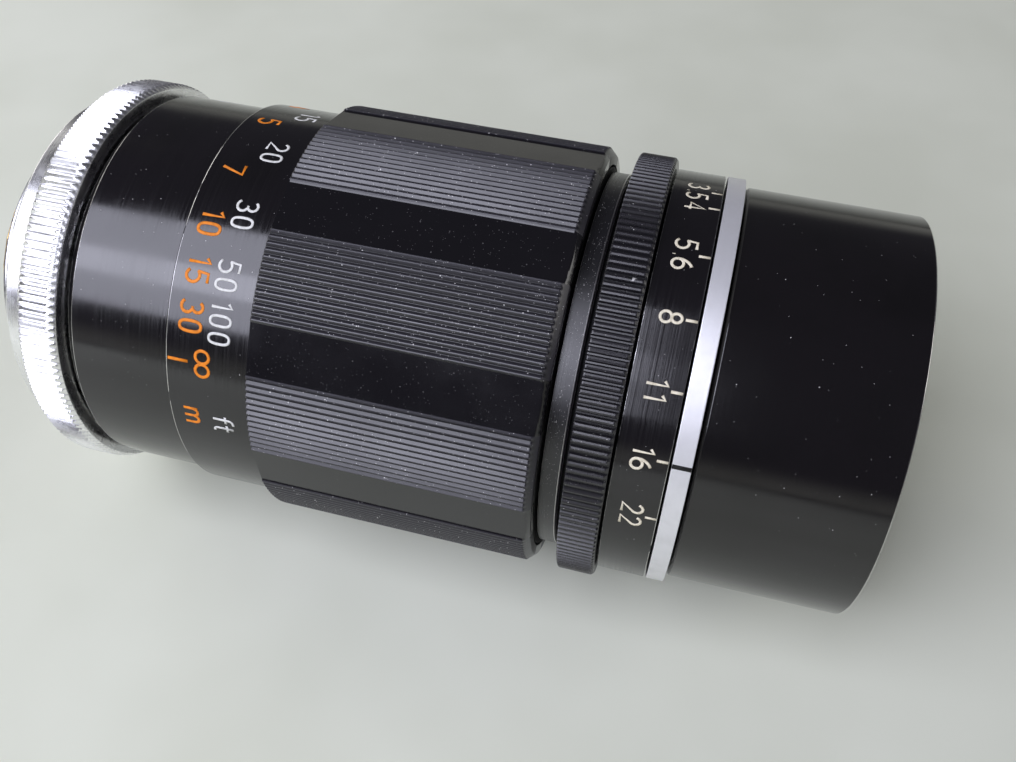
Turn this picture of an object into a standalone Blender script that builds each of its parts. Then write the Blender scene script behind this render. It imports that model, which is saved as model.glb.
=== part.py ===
"""A 135 mm prime lens with a 39 mm screw mount, lying on its side.

The whole head turns and screws forward to focus. Every piece is drawn on the lens's own
axis: local Z runs from the mount to the front rim, local X points up and the mount
flange's rear face is at Z = 0. One empty carries that axis into the world, where it lies
along +X, and the origin is at the middle of the underside.
"""

from math import acos, asin, cos, hypot, pi, radians, sin, sqrt

import bmesh
import bpy
from mathutils import Matrix, Vector

MM = 0.001

# Clearances
FIT_GAP = 0.3 * MM  # between pieces that seat on or in each other
RUN_GAP = 0.4 * MM  # between sleeves that turn or slide in each other
CUT_MARGIN = 1.0 * MM  # how far a cutter runs past the piece it cuts

# Mount and rangefinder drive, radii
THREAD_R = 19.5 * MM  # the 39 mm screw mount
THREAD_WALL = 1.6 * MM
SPIGOT_WALL = 2.0 * MM
FLANGE_STEP = 1.0 * MM
MOUNT_GRIP_WALL = 3.5 * MM
SLEEVE_WALL = 1.2 * MM
SLEEVE_COLLAR_GAP = 0.5 * MM
CAM_WALL = 1.3 * MM

# Focusing mount and head, walls from the inside out
KEY_ROOM = 2.4 * MM
INNER_HELICOID_WALL = 1.4 * MM
OUTER_HELICOID_WALL = 1.7 * MM
FIXED_BARREL_WALL = 2.15 * MM
DISTANCE_RING_WALL = 0.58 * MM
GRIP_VALLEY_WALL = 1.63 * MM
GRIP_LAND_HEIGHT = 0.45 * MM
LENS_BARREL_WALL = 2.1 * MM
COLLAR_WALL = 1.1 * MM
APERTURE_RING_WALL = 4.13 * MM
SCALE_BAND_WALL = 2.8 * MM
INDEX_RING_WALL = 2.85 * MM
FRONT_BARREL_WALL = 1.9 * MM
FRONT_SHOULDER_DEPTH = 2.1 * MM

# Lengths along the axis
THREAD_LENGTH = 4.2 * MM
FLANGE_THICKNESS = 3.6 * MM
MOUNT_KNURL_WIDTH = 5.2 * MM
SPIGOT_SEAT = 3.2 * MM
EXPOSED_AT_INFINITY = 8.55 * MM
BARREL_OVERLAP = 4.35 * MM
BARREL_STOP_ROOM = 2.25 * MM
DISTANCE_RING_WIDTH = 10.75 * MM
GRIP_LENGTH = 35.15 * MM
COLLAR_WIDTH = 2.4 * MM
APERTURE_RING_SPACE = 0.7 * MM
APERTURE_RING_WIDTH = 4.7 * MM
SCALE_BAND_WIDTH = 6.0 * MM
INDEX_RING_WIDTH = 2.2 * MM
FRONT_BARREL_LENGTH = 21.5 * MM
FRONT_BARREL_SEAT = 10.2 * MM
FRONT_SHOULDER_WIDTH = 2.0 * MM
HELICOID_SEAT = 15.0 * MM
SLEEVE_COLLAR_WIDTH = 1.4 * MM
SLEEVE_RING_WIDTH = 1.5 * MM

# Movements, and where the lens stands
FOCUS_TRAVEL = 15.0 * MM
FOCUS_TURN = radians(294.0)
EXTENSION_AT_REST = 5.75 * MM
CAM_TRAVEL = 1.79 * MM
CAM_DEPTH_AT_INFINITY = 7.5 * MM
APERTURE_TURN = radians(93.2)
APERTURE_AT_REST = radians(76.7)  # turned from full aperture
CLICK_STOPS = (0.0, 8.0, 25.2, 42.2, 59.2, 76.2, 93.2)  # degrees from full aperture
CLICK_AT_REST = 76.2

# Grip pattern
LAND_COUNT = 10
LAND_ANGLE = radians(22.0)
LAND_FLANK_ANGLE = radians(0.6)
EDGE_BEVEL = 0.35 * MM

# Iris
BLADE_COUNT = 8
IRIS_CLEAR_R = 12.6 * MM
BLADE_INNER_R = 12.75 * MM
BLADE_WIDTH = 4.25 * MM
BLADE_SWEEP = radians(112.0)
BLADE_THICKNESS = 0.15 * MM
BLADE_PITCH = 0.3 * MM
BLADE_EAR_R = 0.7 * MM
PIVOT_R = 18.9 * MM
PIVOT_PIN_R = 0.4 * MM
DRIVE_PIN_R = 0.3 * MM
PIN_CLEARANCE = 0.15 * MM
DRIVE_PIN_ARM = 5.2 * MM
DRIVE_PIN_INNER_R = 17.6 * MM
SMALLEST_OPENING_R = 2.03 * MM
SLOT_OVERRUN = 0.03  # of the whole closing, past both ends of a drive slot
IRIS_PLATE_THICKNESS = 0.9 * MM
CARRIER_WIDTH = 3.3 * MM
CARRIER_WALL = 1.7 * MM

# Glass and its cells
CELL_WALL = 1.4 * MM
CELL_LIP = 2.0 * MM
CELL_LIP_THICKNESS = 0.6 * MM
RETAINER_WALL = 1.4 * MM
RETAINER_WIDTH = 2.0 * MM
REAR_GLASS_R = 13.2 * MM
REAR_TUBE_LENGTH = 14.0 * MM
REAR_TUBE_WALL = 1.2 * MM
REAR_CELL_WALL = 1.5 * MM
FRONT_EDGE = 2.5 * MM
SPACER_WIDTH = 3.6 * MM
CROWN_EDGE = 2.4 * MM
FLINT_EDGE = 3.9 * MM
REAR_EDGE = 3.4 * MM
FLINT_BULGES = (-0.9 * MM, -1.5 * MM)  # rear and front face
CROWN_BULGES = (1.5 * MM, 2.6 * MM)
FRONT_BULGES = (0.5 * MM, 3.3 * MM)
REAR_BULGES = (1.4 * MM, -1.2 * MM)

# Small pieces
KEY_WIDTH = 3.0 * MM
KEY_LENGTH = 4.0 * MM
CAM_KEY_WIDTH = 2.4 * MM
CAM_KEY_LENGTH = 2.4 * MM
STOP_PIN_R = 0.9 * MM
DRIVE_SCREW_SHARE = 0.2  # of the scale band's width, in front of its rear face
SCREW_R = 0.6 * MM
DRIVE_SCREW_R = 0.9 * MM
CLICK_BALL_R = 0.5 * MM
CLICK_BALL_RISE = 0.2 * MM
CLICK_NOTCH_R = 0.45 * MM
CLICK_SPRING_R = 0.35 * MM
CLICK_WIRE_R = 0.07 * MM
CLICK_TURNS = 3
BARREL_SCREW_ANGLES = (150.0, 200.0, 250.0)
GRIP_SCREW_ANGLES = (162.0, 234.0)
CLICK_ANGLE = 200.0
STOP_PIN_ANGLE = 140.0
DRIVE_SCREW_ANGLE = 205.0

# Facets round a turn
OUTER_SIDES = 48
INNER_SIDES = 28
HOLE_SIDES = 10

# Radii that follow
thread_bore = THREAD_R - THREAD_WALL
sleeve_r = thread_bore - RUN_GAP
sleeve_bore = sleeve_r - SLEEVE_WALL
cam_r = sleeve_bore - RUN_GAP
cam_bore = cam_r - CAM_WALL
inner_helicoid_bore = sleeve_r + KEY_ROOM
inner_helicoid_r = inner_helicoid_bore + INNER_HELICOID_WALL
outer_helicoid_bore = inner_helicoid_r + FIT_GAP
outer_helicoid_r = outer_helicoid_bore + OUTER_HELICOID_WALL
fixed_barrel_bore = outer_helicoid_r + FIT_GAP
fixed_barrel_r = fixed_barrel_bore + FIXED_BARREL_WALL
spigot_r = fixed_barrel_bore - FIT_GAP
spigot_bore = spigot_r - SPIGOT_WALL
flange_r = spigot_r + FLANGE_STEP
mount_grip_bore = spigot_r + FIT_GAP
mount_grip_r = mount_grip_bore + MOUNT_GRIP_WALL
distance_bore = fixed_barrel_r + FIT_GAP
distance_r = distance_bore + DISTANCE_RING_WALL
valley_r = distance_bore + GRIP_VALLEY_WALL
land_r = valley_r + GRIP_LAND_HEIGHT
lens_barrel_bore = inner_helicoid_r + FIT_GAP
lens_barrel_r = lens_barrel_bore + LENS_BARREL_WALL
ring_bore = lens_barrel_r + FIT_GAP
aperture_ring_r = ring_bore + APERTURE_RING_WALL
scale_band_r = ring_bore + SCALE_BAND_WALL
cell_r = lens_barrel_bore - FIT_GAP
glass_r = cell_r - CELL_WALL - FIT_GAP
rest_r = max(land_r, aperture_ring_r)
sleeve_collar_r = spigot_bore - SLEEVE_COLLAR_GAP

# Places along the axis that follow
knurl_rear = FLANGE_THICKNESS
knurl_front = knurl_rear + MOUNT_KNURL_WIDTH
barrel_rear = knurl_front + FIT_GAP
spigot_front = barrel_rear + SPIGOT_SEAT
outer_helicoid_rear = spigot_front + FIT_GAP
distance_rear = barrel_rear + EXPOSED_AT_INFINITY + EXTENSION_AT_REST
distance_front = distance_rear + DISTANCE_RING_WIDTH
barrel_front = distance_rear + FOCUS_TRAVEL - EXTENSION_AT_REST + BARREL_OVERLAP
outer_helicoid_front = barrel_front - CUT_MARGIN
inner_helicoid_rear = outer_helicoid_rear + EXTENSION_AT_REST
lens_barrel_rear = barrel_front + EXTENSION_AT_REST + BARREL_STOP_ROOM
inner_helicoid_front = lens_barrel_rear + HELICOID_SEAT
grip_rear = distance_front + FIT_GAP
grip_front = grip_rear + GRIP_LENGTH
collar_rear = grip_front + FIT_GAP
collar_front = collar_rear + COLLAR_WIDTH
aperture_rear = collar_front + APERTURE_RING_SPACE
aperture_front = aperture_rear + APERTURE_RING_WIDTH
band_rear = aperture_front + FIT_GAP
band_front = band_rear + SCALE_BAND_WIDTH
index_rear = band_front + FIT_GAP
index_front = index_rear + INDEX_RING_WIDTH
front_barrel_rear = index_front + FIT_GAP
front_rim = front_barrel_rear + FRONT_BARREL_LENGTH
lens_barrel_front = front_barrel_rear + FRONT_BARREL_SEAT
shoulder_rear = lens_barrel_front + FIT_GAP
shoulder_front = shoulder_rear + FRONT_SHOULDER_WIDTH
sleeve_collar_rear = FLANGE_THICKNESS + RUN_GAP
sleeve_collar_front = sleeve_collar_rear + SLEEVE_COLLAR_WIDTH
sleeve_front = barrel_front - 3 * CUT_MARGIN

# Focusing state at rest
focus_share = EXTENSION_AT_REST / FOCUS_TRAVEL
turned_from_infinity = FOCUS_TURN * focus_share
cam_advance = CAM_TRAVEL * focus_share
cam_rear = -(CAM_DEPTH_AT_INFINITY - cam_advance)

# Iris stack, which the drive screw in the scale band places
drive_screw_z = band_rear + DRIVE_SCREW_SHARE * SCALE_BAND_WIDTH
carrier_rear = drive_screw_z - CARRIER_WIDTH / 2
carrier_front = carrier_rear + CARRIER_WIDTH
drive_plate_rear = carrier_rear - FIT_GAP - IRIS_PLATE_THICKNESS
blades_front = drive_plate_rear - FIT_GAP
blades_rear = blades_front - BLADE_COUNT * BLADE_PITCH
base_plate_rear = blades_rear - FIT_GAP - IRIS_PLATE_THICKNESS

# Iris angles: a blade swings as much as closes its inner edge to the smallest opening
blade_turn = 2 * asin((BLADE_INNER_R - SMALLEST_OPENING_R) / (2 * PIVOT_R))
blade_ratio = blade_turn / APERTURE_TURN
arm_start = -acos(
    (DRIVE_PIN_INNER_R**2 - PIVOT_R**2 - DRIVE_PIN_ARM**2) / (2 * PIVOT_R * DRIVE_PIN_ARM)
)


def clear_scene():
    for obj in list(bpy.data.objects):
        bpy.data.objects.remove(obj)


def new_collection(name):
    collection = bpy.data.collections.new(name)
    bpy.context.scene.collection.children.link(collection)
    return collection


def material(name, colour, metallic, roughness, transmission=0.0):
    made = bpy.data.materials.new(name)
    made.use_nodes = True
    shader = made.node_tree.nodes["Principled BSDF"]
    shader.inputs["Base Color"].default_value = (*colour, 1.0)
    shader.inputs["Metallic"].default_value = metallic
    shader.inputs["Roughness"].default_value = roughness
    shader.inputs["Transmission Weight"].default_value = transmission
    made.diffuse_color = (*colour, 1.0)
    return made


clear_scene()
parts = new_collection("prime_lens")
cutters = new_collection("cutters")

black_enamel = material("black_enamel", (0.012, 0.011, 0.014), 0.0, 0.22)
black_satin = material("black_satin", (0.03, 0.028, 0.033), 0.0, 0.5)
black_matt = material("black_matt", (0.012, 0.012, 0.012), 0.0, 0.8)
chrome = material("chrome", (0.78, 0.78, 0.8), 1.0, 0.22)
aluminium = material("aluminium", (0.72, 0.71, 0.74), 1.0, 0.35)
brass = material("brass", (0.62, 0.45, 0.2), 1.0, 0.35)
steel = material("steel", (0.5, 0.5, 0.52), 1.0, 0.3)
blued_steel = material("blued_steel", (0.05, 0.05, 0.07), 1.0, 0.45)
glass = material("glass", (0.9, 0.88, 0.95), 0.0, 0.02, 1.0)

axis = bpy.data.objects.new("optical_axis", None)
parts.objects.link(axis)
middle_x = (cam_rear + front_rim) / 2
LENS_TO_WORLD = Matrix(((0, 0, 1), (0, -1, 0), (1, 0, 0)))
axis.rotation_euler = LENS_TO_WORLD.to_euler()
axis.location = (-middle_x, 0, rest_r)


def place(obj, finish, collection=parts, location=(0, 0, 0), angle=0.0):
    """Puts an object on the lens's axis."""
    collection.objects.link(obj)
    obj.parent = axis
    obj.location = location
    obj.rotation_euler.z = angle
    if finish:
        obj.data.materials.append(finish)
    return obj


def smooth(mesh):
    mesh.shade_smooth()
    mesh.set_sharp_from_angle(angle=radians(35))


def turned(name, profile, finish, sides=INNER_SIDES, closed=True, collection=parts):
    """Turns a profile of (radius, place) points, listed down the outside and up the inside."""
    mesh = bpy.data.meshes.new(name)
    points = [(r, 0, z) for r, z in profile]
    edges = [(i, i + 1) for i in range(len(points) - 1)]
    if closed:
        edges.append((len(points) - 1, 0))
    mesh.from_pydata(points, edges, [])
    obj = place(bpy.data.objects.new(name, mesh), finish, collection)
    screw = obj.modifiers.new("turn", "SCREW")
    screw.steps = sides
    screw.render_steps = sides
    screw.use_merge_vertices = True
    screw.merge_threshold = 0.000001
    screw.use_smooth_shade = False
    return obj


def tube(name, outer, inner, rear, front, finish, sides=INNER_SIDES, collection=parts):
    profile = [(outer, front), (outer, rear), (inner, rear), (inner, front)]
    return turned(name, profile, finish, sides, collection=collection)


def bevelled_tube(name, outer, inner, rear, front, finish, bevel=EDGE_BEVEL):
    """A visible ring, whose two outer edges are broken."""
    profile = [
        (outer - bevel, front),
        (outer, front - bevel),
        (outer, rear + bevel),
        (outer - bevel, rear),
        (inner, rear),
        (inner, front),
    ]
    return turned(name, profile, finish, OUTER_SIDES)


def arc(radius, start, end, steps, centre=(0, 0)):
    """Points on a circle from one angle to the other, both included."""
    angles = [start + (end - start) * i / steps for i in range(steps + 1)]
    return [(centre[0] + radius * cos(a), centre[1] + radius * sin(a)) for a in angles]


def circle(radius, sides, centre=(0, 0)):
    return arc(radius, 0, 2 * pi, sides, centre)[:-1]


def flat(name, outlines, rear, front, finish, collection=parts, location=(0, 0), angle=0.0):
    """Extrudes closed outlines between two places on the axis. Inner outlines are holes."""
    curve = bpy.data.curves.new(name, "CURVE")
    curve.dimensions = "2D"
    curve.fill_mode = "BOTH"
    curve.extrude = (front - rear) / 2
    for outline in outlines:
        spline = curve.splines.new("POLY")
        spline.points.add(len(outline) - 1)
        for point, (x, y) in zip(spline.points, outline):
            point.co = (x, y, 0, 1)
        spline.use_cyclic_u = True
    obj = bpy.data.objects.new(name, curve)
    return place(obj, finish, collection, (*location, (rear + front) / 2), angle)


def as_mesh(obj):
    """Turns a curve object into a welded mesh object of the same name and place."""
    graph = bpy.context.evaluated_depsgraph_get()
    mesh = bpy.data.meshes.new_from_object(obj.evaluated_get(graph))
    weld = bmesh.new()
    weld.from_mesh(mesh)
    bmesh.ops.remove_doubles(weld, verts=weld.verts, dist=0.0000005)
    bmesh.ops.recalc_face_normals(weld, faces=weld.faces)
    weld.to_mesh(mesh)
    weld.free()
    name, parent, collection = obj.name, obj.parent, obj.users_collection[0]
    location, rotation = obj.location.copy(), obj.rotation_euler.copy()
    bpy.data.objects.remove(obj)
    made = bpy.data.objects.new(name, mesh)
    collection.objects.link(made)
    made.parent = parent
    made.location = location
    made.rotation_euler = rotation
    return made


def hide_cutter(obj):
    obj.hide_render = True
    obj.display_type = "WIRE"
    return obj


def box(name, size, location, angle, finish, collection=parts):
    """A block with size (radial, across, axial), its middle given in the frame turned to angle."""
    mesh = bpy.data.meshes.new(name)
    shape = bmesh.new()
    bmesh.ops.create_cube(shape, size=1.0)
    for vertex in shape.verts:
        vertex.co = [c * s for c, s in zip(vertex.co, size)]
    shape.to_mesh(mesh)
    shape.free()
    radial, across, along = location
    x = radial * cos(angle) - across * sin(angle)
    y = radial * sin(angle) + across * cos(angle)
    return place(bpy.data.objects.new(name, mesh), finish, collection, (x, y, along), angle)


def rod(name, radius, start, end, finish, sides=HOLE_SIDES, collection=parts):
    """A round pin between two points in the lens's frame."""
    mesh = bpy.data.meshes.new(name)
    shape = bmesh.new()
    run = [b - a for a, b in zip(start, end)]
    length = sqrt(sum(c * c for c in run))
    bmesh.ops.create_cone(
        shape, cap_ends=True, segments=sides, radius1=radius, radius2=radius, depth=length
    )
    shape.to_mesh(mesh)
    shape.free()
    obj = place(bpy.data.objects.new(name, mesh), finish, collection)
    obj.location = [(a + b) / 2 for a, b in zip(start, end)]
    obj.rotation_euler = Vector(run).to_track_quat("Z", "Y").to_euler()
    return obj


def radial_rod(name, radius, inner, outer, along, angle, finish, collection=parts):
    ends = [(r * cos(angle), r * sin(angle), along) for r in (inner, outer)]
    return rod(name, radius, *ends, finish, collection=collection)


def cut(obj, cutter, operation="DIFFERENCE"):
    hide_cutter(cutter)
    boolean = obj.modifiers.new(cutter.name, "BOOLEAN")
    boolean.operation = operation
    boolean.solver = "EXACT"
    boolean.object = cutter
    return obj


def mount_flange():
    """The screw thread's tube, the flange and the spigot that carries the fixed barrel."""
    lead_in = THREAD_WALL / 2
    flange = turned(
        "mount_flange",
        [
            (spigot_r, spigot_front),
            (spigot_r, knurl_rear),
            (flange_r, knurl_rear),
            (flange_r, 0),
            (THREAD_R, 0),
            (THREAD_R, lead_in - THREAD_LENGTH),
            (THREAD_R - lead_in, -THREAD_LENGTH),
            (thread_bore, -THREAD_LENGTH),
            (thread_bore, FLANGE_THICKNESS),
            (spigot_bore, FLANGE_THICKNESS),
            (spigot_bore, spigot_front),
        ],
        chrome,
        OUTER_SIDES,
    )
    hole = stop_pin_shape("stop_pin_hole", STOP_PIN_R + FIT_GAP, FIT_GAP, cutters)
    cut(flange, hole)
    for number, angle in enumerate(BARREL_SCREW_ANGLES, 1):
        cut(flange, barrel_screw_shape(f"spigot_screw_hole_{number}", angle, FIT_GAP, cutters))


def stop_pin_shape(name, radius, extra, collection=parts):
    middle = (thread_bore + spigot_bore) / 2
    angle = radians(STOP_PIN_ANGLE)
    x, y = middle * cos(angle), middle * sin(angle)
    rear = FLANGE_THICKNESS / 2 - extra
    front = sleeve_collar_front - FIT_GAP + extra
    finish = steel if collection is parts else None
    return rod(name, radius, (x, y, rear), (x, y, front), finish, collection=collection)


def barrel_screw_shape(name, angle, extra, collection=parts):
    """A grub screw through the fixed barrel into the spigot."""
    inner = spigot_r - SPIGOT_WALL / 2 - extra
    outer = fixed_barrel_r - FIT_GAP + extra * 3
    along = barrel_rear + SPIGOT_SEAT / 2
    finish = steel if collection is parts else None
    return radial_rod(
        name, SCREW_R + extra, inner, outer, along, radians(angle), finish, collection=collection
    )


def fixed_barrel():
    shape = (fixed_barrel_r, fixed_barrel_bore, barrel_rear, barrel_front)
    barrel = bevelled_tube("fixed_barrel", *shape, black_enamel)
    for number, angle in enumerate(BARREL_SCREW_ANGLES, 1):
        cut(barrel, barrel_screw_shape(f"barrel_screw_hole_{number}", angle, FIT_GAP, cutters))
        barrel_screw_shape(f"barrel_screw_{number}", angle, 0)
    tube(
        "outer_helicoid",
        outer_helicoid_r,
        outer_helicoid_bore,
        outer_helicoid_rear,
        outer_helicoid_front,
        brass,
    )


def rf_drive_sleeve():
    """Turns with the head but stays put along the axis, and screws the cam ring in and out."""
    sleeve = turned(
        "rf_drive_sleeve",
        [
            (sleeve_r, sleeve_front),
            (sleeve_r, sleeve_collar_front),
            (sleeve_collar_r, sleeve_collar_front),
            (sleeve_collar_r, sleeve_collar_rear),
            (sleeve_r, sleeve_collar_rear),
            (sleeve_r, RUN_GAP),
            (sleeve_bore, RUN_GAP),
            (sleeve_bore, sleeve_front),
        ],
        brass,
    )
    rearmost = inner_helicoid_rear - EXTENSION_AT_REST
    length = sleeve_front + CUT_MARGIN - rearmost
    slot_size = (2 * sleeve_r + 2 * CUT_MARGIN, KEY_WIDTH + 2 * FIT_GAP, length)
    slots = box("key_slots", slot_size, (0, 0, rearmost + length / 2), pi / 2, None, cutters)
    cut(sleeve, slots)
    cut(sleeve, stop_notch())
    tube(
        "sleeve_retaining_ring",
        spigot_bore - FIT_GAP,
        sleeve_r + FIT_GAP,
        sleeve_collar_front + FIT_GAP,
        sleeve_collar_front + FIT_GAP + SLEEVE_RING_WIDTH,
        brass,
    )


def stop_notch():
    """The part of the sleeve's collar that passes the stop pin. What is left is the stop lug."""
    pin_circle = (thread_bore + spigot_bore) / 2
    pin_half = asin((STOP_PIN_R + FIT_GAP) / pin_circle)
    pin = radians(STOP_PIN_ANGLE)
    start = pin - (FOCUS_TURN - turned_from_infinity) - pin_half
    end = pin + turned_from_infinity + pin_half
    outline = arc(sleeve_collar_r + CUT_MARGIN, start, end, INNER_SIDES)
    outline += arc(pin_circle - STOP_PIN_R - FIT_GAP, end, start, INNER_SIDES)
    rear, front = sleeve_collar_rear - CUT_MARGIN, sleeve_collar_front + CUT_MARGIN
    return as_mesh(flat("stop_notch", [outline], rear, front, None, cutters))


def rf_cam_ring():
    """The ring that the camera's rangefinder arm rests on."""
    key_rear = RUN_GAP - THREAD_LENGTH + CUT_MARGIN / 2
    front = outer_helicoid_rear
    ring = tube("rf_cam_ring", cam_r, cam_bore, cam_rear, front, brass)
    slot_rear = key_rear - (CAM_TRAVEL - cam_advance) - FIT_GAP
    slot_front = key_rear + CAM_KEY_LENGTH + cam_advance + FIT_GAP
    slot_size = (
        2 * cam_r + 2 * CUT_MARGIN,
        CAM_KEY_WIDTH + 2 * FIT_GAP,
        slot_front - slot_rear,
    )
    cut(ring, box("cam_slots", slot_size, (0, 0, (slot_front + slot_rear) / 2), 0, None, cutters))
    inner, outer = cam_bore + FIT_GAP, thread_bore - FIT_GAP
    for number, angle in enumerate((0, pi), 1):
        box(
            f"rf_guide_key_{number}",
            (outer - inner, CAM_KEY_WIDTH, CAM_KEY_LENGTH),
            ((outer + inner) / 2, 0, key_rear + CAM_KEY_LENGTH / 2),
            angle,
            steel,
        )


def inner_helicoid():
    tube(
        "inner_helicoid",
        inner_helicoid_r,
        inner_helicoid_bore,
        inner_helicoid_rear,
        inner_helicoid_front,
        brass,
    )
    inner, outer = sleeve_bore + FIT_GAP, inner_helicoid_bore - FIT_GAP
    for number, angle in enumerate((pi / 2, -pi / 2), 1):
        box(
            f"drive_key_{number}",
            (outer - inner, KEY_WIDTH, KEY_LENGTH),
            ((outer + inner) / 2, 0, inner_helicoid_rear + FIT_GAP + KEY_LENGTH / 2),
            angle,
            steel,
        )


def grip_outline():
    """Ten raised lands with smooth valleys between them. A land is at the top and the bottom."""
    pitch = 2 * pi / LAND_COUNT
    outline = []
    for land in range(LAND_COUNT):
        middle = land * pitch
        half = LAND_ANGLE / 2
        valley = middle + half + LAND_FLANK_ANGLE
        next_valley = middle + pitch - half - LAND_FLANK_ANGLE
        outline += arc(land_r, middle - half, middle + half, 6)
        outline += arc(valley_r, valley, next_valley, 3)
    return outline


def focus_grip():
    distance_ring_profile = (distance_r, distance_bore, distance_rear, distance_front)
    bevelled_tube("distance_ring", *distance_ring_profile, black_enamel)
    bore = circle(distance_bore, OUTER_SIDES)
    grip = as_mesh(flat("focus_grip", [grip_outline(), bore], grip_rear, grip_front, black_satin))
    for number, angle in enumerate(GRIP_SCREW_ANGLES, 1):
        along = grip_front - 3 * FIT_GAP - 4 * SCREW_R
        inner, outer = distance_bore + FIT_GAP - CUT_MARGIN, valley_r - FIT_GAP
        turn = radians(angle)
        hole = (SCREW_R + FIT_GAP, inner - FIT_GAP, outer + CUT_MARGIN, along, turn, None)
        seat_hole = radial_rod(f"grip_screw_hole_{number}", *hole, collection=cutters)
        cut(grip, seat_hole)
        cut(bpy.data.objects["lens_barrel"], seat_hole)
        radial_rod(f"grip_screw_{number}", SCREW_R, inner, outer, along, turn, steel)
    smooth(grip.data)


def lens_barrel():
    """The head's main tube: the grip, collar and rings sit round it and the glass inside."""
    seat_r = distance_bore - FIT_GAP
    barrel = turned(
        "lens_barrel",
        [
            (lens_barrel_r, lens_barrel_front),
            (lens_barrel_r, grip_front),
            (seat_r, grip_front),
            (seat_r, lens_barrel_rear),
            (lens_barrel_bore, lens_barrel_rear),
            (lens_barrel_bore, lens_barrel_front),
        ],
        black_matt,
        OUTER_SIDES,
    )
    cut(barrel, drive_screw_slot())
    floor, mouth = lens_barrel_bore + FIT_GAP, lens_barrel_r + CUT_MARGIN
    cut(barrel, click_pocket("click_pocket", CLICK_BALL_R + FIT_GAP, floor, mouth, CLICK_ANGLE))
    collar_inner = (ring_bore, collar_rear, collar_front)
    bevelled_tube("head_collar", ring_bore + COLLAR_WALL, *collar_inner, black_satin)
    index = (ring_bore + INDEX_RING_WALL, ring_bore, index_rear, index_front)
    bevelled_tube("aperture_index_ring", *index, aluminium, EDGE_BEVEL / 2)


def drive_screw_slot():
    """Lets the drive screw through the barrel over the aperture ring's whole turn."""
    screw = radians(DRIVE_SCREW_ANGLE)
    half = asin((DRIVE_SCREW_R + FIT_GAP) / lens_barrel_bore)
    start = screw - (APERTURE_TURN - APERTURE_AT_REST) - half
    end = screw + APERTURE_AT_REST + half
    outline = arc(lens_barrel_r + CUT_MARGIN, start, end, INNER_SIDES)
    outline += arc(lens_barrel_bore - CUT_MARGIN, end, start, INNER_SIDES)
    half_width = DRIVE_SCREW_R + FIT_GAP
    rear, front = drive_screw_z - half_width, drive_screw_z + half_width
    return as_mesh(flat("drive_screw_slot", [outline], rear, front, None, cutters))


def front_barrel():
    """Screws onto the lens barrel. Its mouth takes a 48 mm filter."""
    outer = ring_bore + FRONT_BARREL_WALL
    shoulder = ring_bore - FRONT_SHOULDER_DEPTH
    turned(
        "front_barrel",
        [
            (outer - EDGE_BEVEL, front_rim),
            (outer, front_rim - EDGE_BEVEL),
            (outer, front_barrel_rear + EDGE_BEVEL),
            (outer - EDGE_BEVEL, front_barrel_rear),
            (ring_bore, front_barrel_rear),
            (ring_bore, shoulder_rear),
            (shoulder, shoulder_rear),
            (shoulder, shoulder_front),
            (ring_bore, shoulder_front),
            (ring_bore, front_rim),
        ],
        black_enamel,
        OUTER_SIDES,
    )


def aperture_ring():
    ring = (aperture_ring_r, ring_bore, aperture_rear, aperture_front)
    knurled = bevelled_tube("aperture_ring", *ring, black_satin)
    bottom = ring_bore + CLICK_BALL_R
    for number, stop in enumerate(CLICK_STOPS, 1):
        angle = CLICK_ANGLE + stop - CLICK_AT_REST
        name = f"click_notch_{number}"
        cut(knurled, click_pocket(name, CLICK_NOTCH_R, lens_barrel_r, bottom, angle))
    band_shape = (scale_band_r, ring_bore, band_rear, band_front)
    band = bevelled_tube("aperture_scale_ring", *band_shape, black_enamel, EDGE_BEVEL / 2)
    turn = radians(DRIVE_SCREW_ANGLE)
    inner, outer = cell_r - CARRIER_WALL + FIT_GAP, scale_band_r - SCALE_BAND_WALL / 3
    hole = (DRIVE_SCREW_R + FIT_GAP, inner - FIT_GAP, outer + FIT_GAP, drive_screw_z, turn, None)
    cut(band, radial_rod("drive_screw_hole", *hole, collection=cutters))
    radial_rod("iris_drive_screw", DRIVE_SCREW_R, inner, outer, drive_screw_z, turn, steel)
    carrier_bore = cell_r - CARRIER_WALL
    carrier = tube("iris_carrier", cell_r, carrier_bore, carrier_rear, carrier_front, black_matt)
    through = (DRIVE_SCREW_R + FIT_GAP, carrier_bore - CUT_MARGIN, cell_r + CUT_MARGIN)
    cut(carrier, radial_rod("carrier_hole", *through, drive_screw_z, turn, None, cutters))


def click_pocket(name, radius, inner, outer, angle):
    """A radial hole under the middle of the aperture ring."""
    along = (aperture_rear + aperture_front) / 2
    return radial_rod(name, radius, inner, outer, along, radians(angle), None, cutters)


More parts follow.
